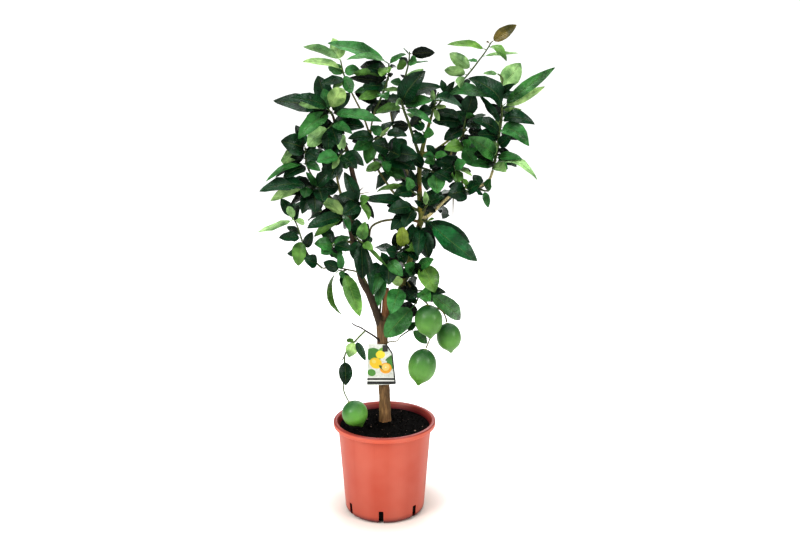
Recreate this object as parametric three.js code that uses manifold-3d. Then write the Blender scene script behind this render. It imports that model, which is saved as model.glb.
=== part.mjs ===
// A young lemon tree about one metre tall, in a round terracotta-coloured nursery pot.
// Millimetres, +Z up, origin at the centre of the pot's underside, front towards -Y.
import * as THREE from 'three';
import { mergeVertices } from 'three/addons/utils/BufferGeometryUtils.js';
import Module from 'manifold-3d';

const wasm = await Module();
wasm.setup();

// ---------- driving dimensions ----------
const GAP = 0.35;                 // left between pieces that touch

const POT_HEIGHT = 203;
const RIM_RADIUS = 110;           // outside of the rolled rim
const RIM_WIDTH = 7.8;            // flat top of the rim
const RIM_DROP = 11;              // height of the rim's outer band
const WALL_TOP_RADIUS = 100.2;    // outside of the wall just under the rim
const WALL_FOOT_RADIUS = 86.5;    // outside of the wall above the rounded corner
const FOOT_ROUND = 11;
const WALL = 2.2;
const POT_SEGMENTS = 36;
const SLOT_COUNT = 7;             // drain slots round the foot
const SLOT_WIDTH = 10;
const SLOT_TOP = 30;
const SLOT_INNER_RADIUS = 70;
const FIRST_SLOT = -4.4;          // degrees from the front

const SOIL_EDGE = 190;            // height of the compost at the wall
const SOIL_MOUND = 7;             // how much higher it lies round the trunk

// The tree was laid out as it is seen from the front. A place is [x, z, depth]: x and z where its
// sight line crosses the upright plane through the trunk, and how far behind that plane it lies.
const EYE = new THREE.Vector3(33, -1778, 919);

// ---------- small tools ----------
const radians = THREE.MathUtils.degToRad;

function place([x, z, depth]) {
  const onPlane = new THREE.Vector3(x, 0, z);
  return onPlane.clone().addScaledVector(onPlane.clone().sub(EYE), depth / -EYE.y);
}

function solid(geometry) {
  const bare = geometry.index ? geometry.clone() : geometry;
  bare.deleteAttribute('normal');
  bare.deleteAttribute('uv');
  const merged = mergeVertices(bare, 1e-4);
  const corners = [];
  for (let i = 0; i < merged.index.count; i += 3) {
    const [a, b, c] = [merged.index.getX(i), merged.index.getX(i + 1), merged.index.getX(i + 2)];
    if (a !== b && b !== c && c !== a) corners.push(a, b, c);
  }
  return new wasm.Manifold(new wasm.Mesh({
    numProp: 3,
    vertProperties: new Float32Array(merged.attributes.position.array),
    triVerts: new Uint32Array(corners),
  }));
}

function geometryOf(body) {
  const mesh = body.getMesh();
  const geometry = new THREE.BufferGeometry();
  geometry.setAttribute('position', new THREE.BufferAttribute(mesh.vertProperties, 3));
  geometry.setIndex(new THREE.BufferAttribute(mesh.triVerts, 1));
  geometry.computeVertexNormals();
  return geometry;
}

function joined(bodies) {
  return bodies.reduce((whole, body) => whole.add(body));
}

// The largest of the pieces that a cut leaves.
function largest(body) {
  return body.decompose().reduce((best, piece) => (piece.volume() > best.volume() ? piece : best));
}

const tree = new THREE.Group();

function addPiece(name, geometry, look) {
  const mesh = new THREE.Mesh(geometry, new THREE.MeshStandardMaterial(look));
  mesh.name = name;
  tree.add(mesh);
  return mesh;
}

// ---------- lofts: closed skins through rings of points ----------
function loft(rings) {
  const points = rings.flat();
  const index = [];
  const starts = [];
  let start = 0;
  for (const ring of rings) {
    starts.push(start);
    start += ring.length;
  }
  for (let r = 0; r + 1 < rings.length; r++) {
    const low = rings[r].length;
    if (rings[r + 1].length === 1) {
      for (let i = 0; i < low; i++) index.push(starts[r] + i, starts[r] + ((i + 1) % low), starts[r + 1]);
      continue;
    }
    for (let i = 0; i < low; i++) {
      const j = (i + 1) % low;
      index.push(starts[r] + i, starts[r] + j, starts[r + 1] + j);
      index.push(starts[r] + i, starts[r + 1] + j, starts[r + 1] + i);
    }
  }
  for (let i = 1; i + 1 < rings[0].length; i++) index.push(starts[0], starts[0] + i + 1, starts[0] + i);
  const last = rings.length - 1;
  for (let i = 1; i + 1 < rings[last].length; i++) {
    index.push(starts[last], starts[last] + i, starts[last] + i + 1);
  }
  const geometry = new THREE.BufferGeometry();
  const flat = new Float32Array(points.flatMap((point) => [point.x, point.y, point.z]));
  geometry.setAttribute('position', new THREE.BufferAttribute(flat, 3));
  geometry.setIndex(index);
  return solid(geometry);
}

// A round stem through places, its radius going from one value to the next.
function stem(places, radii, sides, swell = 0) {
  const points = places.map(place);
  const rings = [];
  let across = new THREE.Vector3(0, 1, 0);
  for (let i = 0; i < points.length; i++) {
    const before = points[Math.max(i - 1, 0)];
    const after = points[Math.min(i + 1, points.length - 1)];
    const along = after.clone().sub(before).normalize();
    across = across.clone().addScaledVector(along, -across.dot(along)).normalize();
    const third = along.clone().cross(across);
    const radius = radii[i] + swell;
    const ring = [];
    for (let k = 0; k < sides; k++) {
      const angle = (2 * Math.PI * k) / sides;
      const spoke = across.clone().multiplyScalar(Math.cos(angle)).addScaledVector(third, Math.sin(angle));
      ring.push(points[i].clone().addScaledVector(spoke, radius));
    }
    rings.push(ring);
  }
  return loft(rings);
}

// ---------- pot ----------
function potProfile() {
  const top = POT_HEIGHT;
  const rimInner = RIM_RADIUS - RIM_WIDTH;
  const cosine = (degrees) => Math.cos(radians(degrees));
  const sine = (degrees) => Math.sin(radians(degrees));
  const outline = [[0, 0]];
  for (const turn of [-90, -45, 0]) {
    outline.push([
      WALL_FOOT_RADIUS - FOOT_ROUND + FOOT_ROUND * cosine(turn),
      FOOT_ROUND + FOOT_ROUND * sine(turn),
    ]);
  }
  outline.push([WALL_TOP_RADIUS, top - RIM_DROP - 1]);
  outline.push([RIM_RADIUS - 1.5, top - RIM_DROP]);
  outline.push([RIM_RADIUS, top - RIM_DROP + 1.5]);
  outline.push([RIM_RADIUS, top - 2]);
  outline.push([RIM_RADIUS - 1.8, top]);
  outline.push([rimInner + 1.2, top]);
  outline.push([rimInner - 1.4, top - 1.6]);
  outline.push([WALL_TOP_RADIUS - WALL, top - 7]);
  outline.push([WALL_FOOT_RADIUS - WALL, FOOT_ROUND + 1]);
  const innerRound = FOOT_ROUND - WALL;
  for (const turn of [-45, -90]) {
    outline.push([
      WALL_FOOT_RADIUS - FOOT_ROUND + innerRound * cosine(turn),
      FOOT_ROUND + innerRound * sine(turn),
    ]);
  }
  outline.push([0, WALL]);
  return outline.map(([r, z]) => new THREE.Vector2(r, z));
}

// LatheGeometry turns about Y, so each turned piece is stood up along Z.
function turned(profile, segments) {
  return solid(new THREE.LatheGeometry(profile, segments).rotateX(Math.PI / 2));
}

function makePot() {
  let pot = turned(potProfile(), POT_SEGMENTS);
  for (let i = 0; i < SLOT_COUNT; i++) {
    const length = WALL_TOP_RADIUS - SLOT_INNER_RADIUS;
    const slot = new THREE.BoxGeometry(SLOT_WIDTH, length, SLOT_TOP + 2);
    slot.translate(0, -(SLOT_INNER_RADIUS + length / 2), SLOT_TOP / 2 - 1);
    slot.rotateZ(radians(FIRST_SLOT + (360 * i) / SLOT_COUNT));
    pot = pot.subtract(solid(slot));
  }
  addPiece('pot', geometryOf(pot), { color: 0xd8654c, roughness: 0.55, metalness: 0 });
}

// ---------- trunk, limbs and branches, grown as one ----------
// Each is a list of places with a radius after the depth.
const TRUNK = [
  [1, 172, 8, 14.6], [1, 197, 8, 14.2], [1, 222, 8, 12.8], [0, 260, 7, 12.2], [-2, 300, 5, 12],
  [-4, 350, 3, 11.4], [-4, 385, 2, 11.8], [-4, 408, 2, 13], [-4, 425, 2, 12],
];
const LEFT_LIMB = [
  [-4, 400, 2, 9.5], [-10, 422, 0, 9], [-19, 448, -4, 8.2], [-32, 484, -9, 7.8], [-45, 508, -13, 7.4],
  [-54, 545, -16, 6.8], [-62, 590, -18, 6.6], [-67, 622, -19, 6.8], [-64, 650, -19, 6.2],
  [-57, 676, -18, 6], [-55, 694, -18, 7.6], [-59, 715, -18, 5.6], [-65, 742, -18, 5], [-72, 775, -17, 4.2],
  [-86, 808, -16, 3.6], [-97, 834, -14, 3.2], [-101, 848, -14, 2.6],
];
const PRUNED_STUB = [
  [-2, 410, 3, 8], [1, 435, 4, 7.8], [3, 460, 4, 7.4], [4, 480, 4, 6.2], [6, 494, 4, 5.4],
];
const RIGHT_LIMB = [
  [0, 405, 4, 7.5], [12, 436, 10, 7.2], [26, 470, 14, 7], [40, 505, 16, 6.8], [54, 555, 14, 6.4],
  [68, 610, 9, 6], [77, 640, 4, 6.6], [75, 664, 2, 5.8], [73, 700, 0, 5.4], [73, 742, 0, 5.2],
  [78, 780, 2, 4.6], [87, 815, 4, 3.6], [96, 848, 3, 3],
];
const CREAM_BRANCH = [
  [78, 640, 2, 4], [90, 645, -4, 3.8], [108, 661, -10, 3.3], [132, 684, -16, 3.2], [158, 702, -14, 3.1],
  [190, 706, -10, 3.1], [213, 718, -8, 3.2], [222, 740, -7, 3],
];
const HEART_BRANCH = [
  [146, 694, -15, 2.8], [160, 714, -14, 2.6], [153, 738, -13, 2.5], [160, 756, -12, 2.4],
  [171, 773, -12, 2.3], [167, 794, -12, 2.2], [160, 812, -12, 2.1],
];
const FAN_BRANCH = [[78, 772, 1, 3.6], [100, 779, -3, 2.8], [128, 797, -6, 2.6], [152, 816, -8, 2.4]];
const MIDDLE_BRANCH = [
  [74, 655, 2, 3.6], [48, 670, -4, 3], [22, 692, -8, 2.8], [2, 720, -11, 2.6], [-12, 742, -12, 2.6],
  [-20, 766, -12, 2.5], [-25, 795, -12, 2.4], [-32, 824, -12, 2.3], [-44, 856, -10, 2.2],
  [-60, 888, -8, 2], [-71, 911, -6, 1.8],
];
const TOP_BRANCH = [[-26, 800, -12, 2.3], [-24, 830, -10, 2.2], [-17, 858, -10, 2]];
const HOOK_BRANCH = [
  [72, 634, 6, 3.4], [46, 639, 0, 2.9], [15, 638, -6, 2.7], [-12, 632, -9, 2.6], [-26, 622, -11, 2.5],
  [-30, 604, -12, 2.4], [-34, 580, -12, 2.2], [-36, 562, -12, 2],
];
const LEFT_SPRAY = [
  [-30, 482, -8, 3], [-38, 508, -16, 2.4], [-52, 526, -24, 2.2], [-76, 533, -30, 2],
  [-98, 537, -34, 1.9], [-128, 536, -36, 1.8],
];
const LEFT_ARM = [
  [-66, 640, -18, 4], [-90, 662, -16, 3.2], [-115, 690, -14, 2.8], [-138, 716, -12, 2.4],
  [-151, 738, -12, 2.2],
];
const LEFT_INNER = [[-62, 590, -18, 3.6], [-80, 592, -24, 2.8], [-98, 588, -30, 2.4]];
const LOW_TWIG = [
  [-6, 372, 0, 4], [-14, 383, -10, 2.5], [-38, 400, -26, 2.1], [-50, 408, -32, 1.9], [-62, 413, -38, 1.8],
  [-69, 419, -42, 1.5],
];
const RIGHT_TWIG = [[2, 373, 0, 3], [13, 377, -12, 1.7], [26, 378, -24, 1.6], [33, 387, -34, 1.5]];
const FRUIT_TWIG = [
  [36, 497, 14, 3.4], [45, 507, 4, 2.6], [60, 489, -8, 2.3], [76, 472, -20, 2.1], [86, 467, -32, 2],
  [89.7, 460.6, -41.4, 2.3],
];
const LOW_STALK = [
  [80, 470, -24, 2], [94, 454, -10, 2], [101, 424, -6, 1.9], [99, 394, -18, 1.8], [92, 371, -40, 1.8],
  [88.4, 362.6, -45.6, 2.2],
];
const RIGHT_STALK = [
  [94, 454, -10, 2], [118, 447, -10, 1.8], [129, 432, -12, 1.9], [131.6, 419.2, -13.8, 2.3],
];
const BACK_LEFT = [
  [-56, 560, -15, 4.5], [-58, 590, 30, 4], [-70, 640, 72, 3.6], [-90, 700, 104, 3.2], [-100, 760, 120, 2.6],
];
const BACK_RIGHT = [
  [62, 588, 12, 4.6], [66, 610, 50, 4.2], [84, 660, 92, 3.8], [112, 720, 122, 3.2], [140, 780, 134, 2.6],
];
const BACK_MIDDLE = [
  [74, 690, 0, 4], [56, 720, 40, 3.4], [36, 765, 78, 3], [22, 815, 100, 2.6], [14, 856, 108, 2],
];
const SPINES = [
  // foot, then point, both as places
  [[-50, 697, -22], [-40, 706, -40]], [[-56, 690, -24], [-24, 696, -44]], [[-60, 695, -22], [-78, 697, -40]],
  [[142, 688, -16], [142, 640, -24]], [[152, 814, -8], [172, 826, -22]],
];

function branch(rows, sides, swell) {
  return stem(rows.map(([x, z, depth]) => [x, z, depth]), rows.map((row) => row[3]), sides, swell);
}

const LIMBS = [LEFT_LIMB, PRUNED_STUB, RIGHT_LIMB];
const BRANCHES = [
  CREAM_BRANCH, HEART_BRANCH, FAN_BRANCH, MIDDLE_BRANCH, TOP_BRANCH, HOOK_BRANCH, LEFT_SPRAY,
  LEFT_ARM, LEFT_INNER, LOW_TWIG, RIGHT_TWIG, FRUIT_TWIG, LOW_STALK, RIGHT_STALK, BACK_LEFT,
  BACK_RIGHT, BACK_MIDDLE,
];
const WOOD = [TRUNK, ...LIMBS, ...BRANCHES];

function woodBody(swell) {
  const bodies = [branch(TRUNK, 10, swell)];
  bodies.push(...LIMBS.map((rows) => branch(rows, 6, swell)));
  bodies.push(...BRANCHES.map((rows) => branch(rows, rows[0][3] < 3.4 ? 4 : 5, swell)));
  bodies.push(...SPINES.map((ends) => stem(ends, [1.6, 0.5], 3, swell)));
  return joined(bodies);
}

// ---------- leaves ----------
const BODY_WIDTH = 1.1;           // makes up for the few sections of a blade
const MIDRIB_THICKNESS = 1.6;     // the blade thins from here to its edges
const PETIOLE = 0.1;              // share of the leaf that is stalk
const PETIOLE_HALF = 0.9;
const STALK_AT = 4.5;             // how far out the stalk reaches its full thickness
const ROOT_SINK = 1;
const FOLD = 0.16;                // how far the edges rise above the midrib, per half width
const LONG_LEAF = 100;            // from here on a leaf has three sections, below it two
const SMALL_LEAF = 46;            // below this it has one
const LONG_STATIONS = [0.16, 0.48, 0.8];
const SHORT_STATIONS = [0.24, 0.66];
const SMALL_STATIONS = [0.42];
const CHECK_STATIONS = [0.08, 0.24, 0.42, 0.6, 0.78, 0.92];
const LEAF_CLEARANCE = 3;
const STEM_CLEARANCE = 1.2;
const ROOT_ROOM = 1.5;            // least way from the wood to a leaf's root
const NUDGES = [0, -12, 12, -24, 24, -38, 38, -54, 54];   // depths tried when a leaf would touch another

// Half the width of a citrus blade, u running from its foot to its point.
function halfWidth(u, width) {
  return (width / 2) * 2.67 * u ** 0.6 * (1 - u) ** 0.85;
}

// A leaf runs from its root to its tip. turn tips the upper face towards the front, in degrees, and
// arch lifts the middle off the straight line, as a share of the length.
function makeLeaf(root, tip, width, turn, arch) {
  const along = tip.clone().sub(root);
  const length = along.length();
  along.divideScalar(length);
  const facing = EYE.clone().sub(root).normalize();
  facing.addScaledVector(along, -facing.dot(along)).normalize();
  const upwards = along.clone().cross(facing);
  if (upwards.z < 0) upwards.negate();
  const lean = radians(turn);
  const normal = upwards.multiplyScalar(Math.cos(lean)).addScaledVector(facing, Math.sin(lean));
  return { root, tip, width, arch, length, along, normal, across: along.clone().cross(normal) };
}

// The point of the arched midrib at a share s of the leaf's length, and the blade's normal there.
function midline(leaf, s) {
  const lift = 4 * leaf.arch;
  const point = leaf.root.clone().addScaledVector(leaf.along, leaf.length * s)
    .addScaledVector(leaf.normal, leaf.length * lift * s * (1 - s));
  const normal = leaf.normal.clone().addScaledVector(leaf.along, -lift * (1 - 2 * s)).normalize();
  return { point, normal };
}

// Middle, right edge and left edge of the blade at u, with the blade's own normal there.
function section(leaf, u, widen = 1) {
  const { point: middle, normal } = midline(leaf, PETIOLE + (1 - PETIOLE) * u);
  const half = widen * halfWidth(u, leaf.width);
  const raised = middle.clone().addScaledVector(normal, FOLD * half);
  const right = raised.clone().addScaledVector(leaf.across, half);
  const left = raised.clone().addScaledVector(leaf.across, -half);
  return { middle, right, left, normal };
}

function stationsOf(leaf) {
  if (leaf.length < SMALL_LEAF) return SMALL_STATIONS;
  return leaf.length < LONG_LEAF ? SHORT_STATIONS : LONG_STATIONS;
}

// The stalk starts in a point sunk behind the twig's middle and is three-sided where it leaves the twig.
function leafBody(leaf) {
  const { root, tip, across } = leaf;
  const off = (point, direction, distance) => point.clone().addScaledVector(direction, distance);
  const thick = MIDRIB_THICKNESS / 2;
  const sunk = off(root, leaf.along, -ROOT_SINK);
  const stalk = midline(leaf, STALK_AT / leaf.length);
  const right = off(stalk.point, across, PETIOLE_HALF);
  const left = off(stalk.point, across, -PETIOLE_HALF);
  const under = off(stalk.point, stalk.normal, -2 * PETIOLE_HALF);
  const rings = [[sunk, sunk, sunk, sunk], [right, under, left, left]];
  for (const u of stationsOf(leaf)) {
    const { middle, right, left, normal } = section(leaf, u, BODY_WIDTH);
    rings.push([right, off(middle, normal, -thick), left, off(middle, normal, thick)]);
  }
  rings.push([tip]);
  return loft(rings);
}

// ---------- keeping leaves apart ----------
// A blade as triangles without thickness, and the points where its distance is measured.
function bladeSkin(leaf, withStalk) {
  const stations = CHECK_STATIONS.map((u) => section(leaf, u));
  if (withStalk) {
    const { point: middle } = midline(leaf, STALK_AT / leaf.length);
    const reach = leaf.across.clone().multiplyScalar(PETIOLE_HALF);
    stations.unshift({ middle, right: middle.clone().add(reach), left: middle.clone().sub(reach) });
  }
  const triangles = [];
  for (let i = 0; i + 1 < stations.length; i++) {
    const [a, b] = [stations[i], stations[i + 1]];
    triangles.push([a.left, a.middle, b.middle], [a.left, b.middle, b.left]);
    triangles.push([a.middle, a.right, b.right], [a.middle, b.right, b.middle]);
  }
  const last = stations[stations.length - 1];
  triangles.push([last.left, last.middle, leaf.tip], [last.middle, last.right, leaf.tip]);
  const points = stations.flatMap((cut) => [cut.left, cut.middle, cut.right]);
  points.push(leaf.tip);
  return { triangles, points };
}

function crosses(start, end, [a, b, c]) {
  const direction = end.clone().sub(start);
  const ab = b.clone().sub(a);
  const ac = c.clone().sub(a);
  const p = direction.clone().cross(ac);
  const determinant = ab.dot(p);
  if (Math.abs(determinant) < 1e-9) return false;
  const t = start.clone().sub(a);
  const u = t.dot(p) / determinant;
  if (u < 0 || u > 1) return false;
  const q = t.cross(ab);
  const v = direction.dot(q) / determinant;
  if (v < 0 || u + v > 1) return false;
  const w = ac.dot(q) / determinant;
  return w >= 0 && w <= 1;
}

function skinsCross(one, other) {
  const cutsThrough = (edges, faces) => edges.some(([a, b, c]) => faces.some((face) => (
    crosses(a, b, face) || crosses(b, c, face) || crosses(c, a, face))));
  return cutsThrough(one.triangles, other.triangles) || cutsThrough(other.triangles, one.triangles);
}

function distanceToSegment(point, start, end) {
  const run = end.clone().sub(start);
  const t = Math.min(1, Math.max(0, point.clone().sub(start).dot(run) / run.lengthSq()));
  return point.distanceTo(start.clone().addScaledVector(run, t));
}

// What the leaves must clear: stems as [start, end, radius], balls as [centre, radius], and blades.
const obstacles = { stems: [], balls: [], blades: [] };

function noteStem(places, radii, owner) {
  const points = places.map(place);
  const [before, end] = points.slice(-2);
  end.addScaledVector(end.clone().sub(before).normalize(), STEM_CLEARANCE + 2);
  for (let i = 0; i + 1 < points.length; i++) {
    const radius = Math.max(radii[i], radii[i + 1]);
    obstacles.stems.push({ start: points[i], end: points[i + 1], radius, owner });
  }
}

function isClear(leaf, owner) {
  const centre = leaf.root.clone().add(leaf.tip).multiplyScalar(0.5);
  const reach = leaf.length * 0.75;
  const whole = bladeSkin(leaf, true);
  const outer = bladeSkin(leaf, false);
  for (const ball of obstacles.balls) {
    if (whole.points.some((point) => point.distanceTo(ball.centre) < ball.radius)) return false;
  }
  for (const part of obstacles.stems) {
    const own = part.owner === owner;
    const gap = distanceToSegment(centre, part.start, part.end);
    if (gap > reach + part.radius + 5) continue;
    const skin = own ? outer : whole;
    const least = own ? part.radius : part.radius + STEM_CLEARANCE;
    if (skin.points.some((point) => distanceToSegment(point, part.start, part.end) < least)) return false;
    if (skin.triangles.some((face) => crosses(part.start, part.end, face))) return false;
  }
  for (const blade of obstacles.blades) {
    if (blade.centre.distanceTo(centre) > blade.reach + reach) continue;
    const own = blade.owner === owner;
    const mine = own ? outer : whole;
    const theirs = own ? blade.outer : blade.whole;
    if (skinsCross(mine, theirs)) return false;
    const least = own ? LEAF_CLEARANCE / 2 : LEAF_CLEARANCE;
    if (mine.points.some((a) => theirs.points.some((b) => a.distanceTo(b) < least))) return false;
  }
  obstacles.blades.push({ centre, reach, owner, whole, outer });
  return true;
}

// The point a share t along a stem's length.
function alongStem(points, t) {
  const lengths = points.slice(1).map((point, i) => point.distanceTo(points[i]));
  let left = t * lengths.reduce((sum, length) => sum + length, 0);
  for (let i = 0; i < lengths.length; i++) {
    if (left <= lengths[i]) return points[i].clone().lerp(points[i + 1], left / lengths[i]);
    left -= lengths[i];
  }
  return points[points.length - 1].clone();
}

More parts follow.
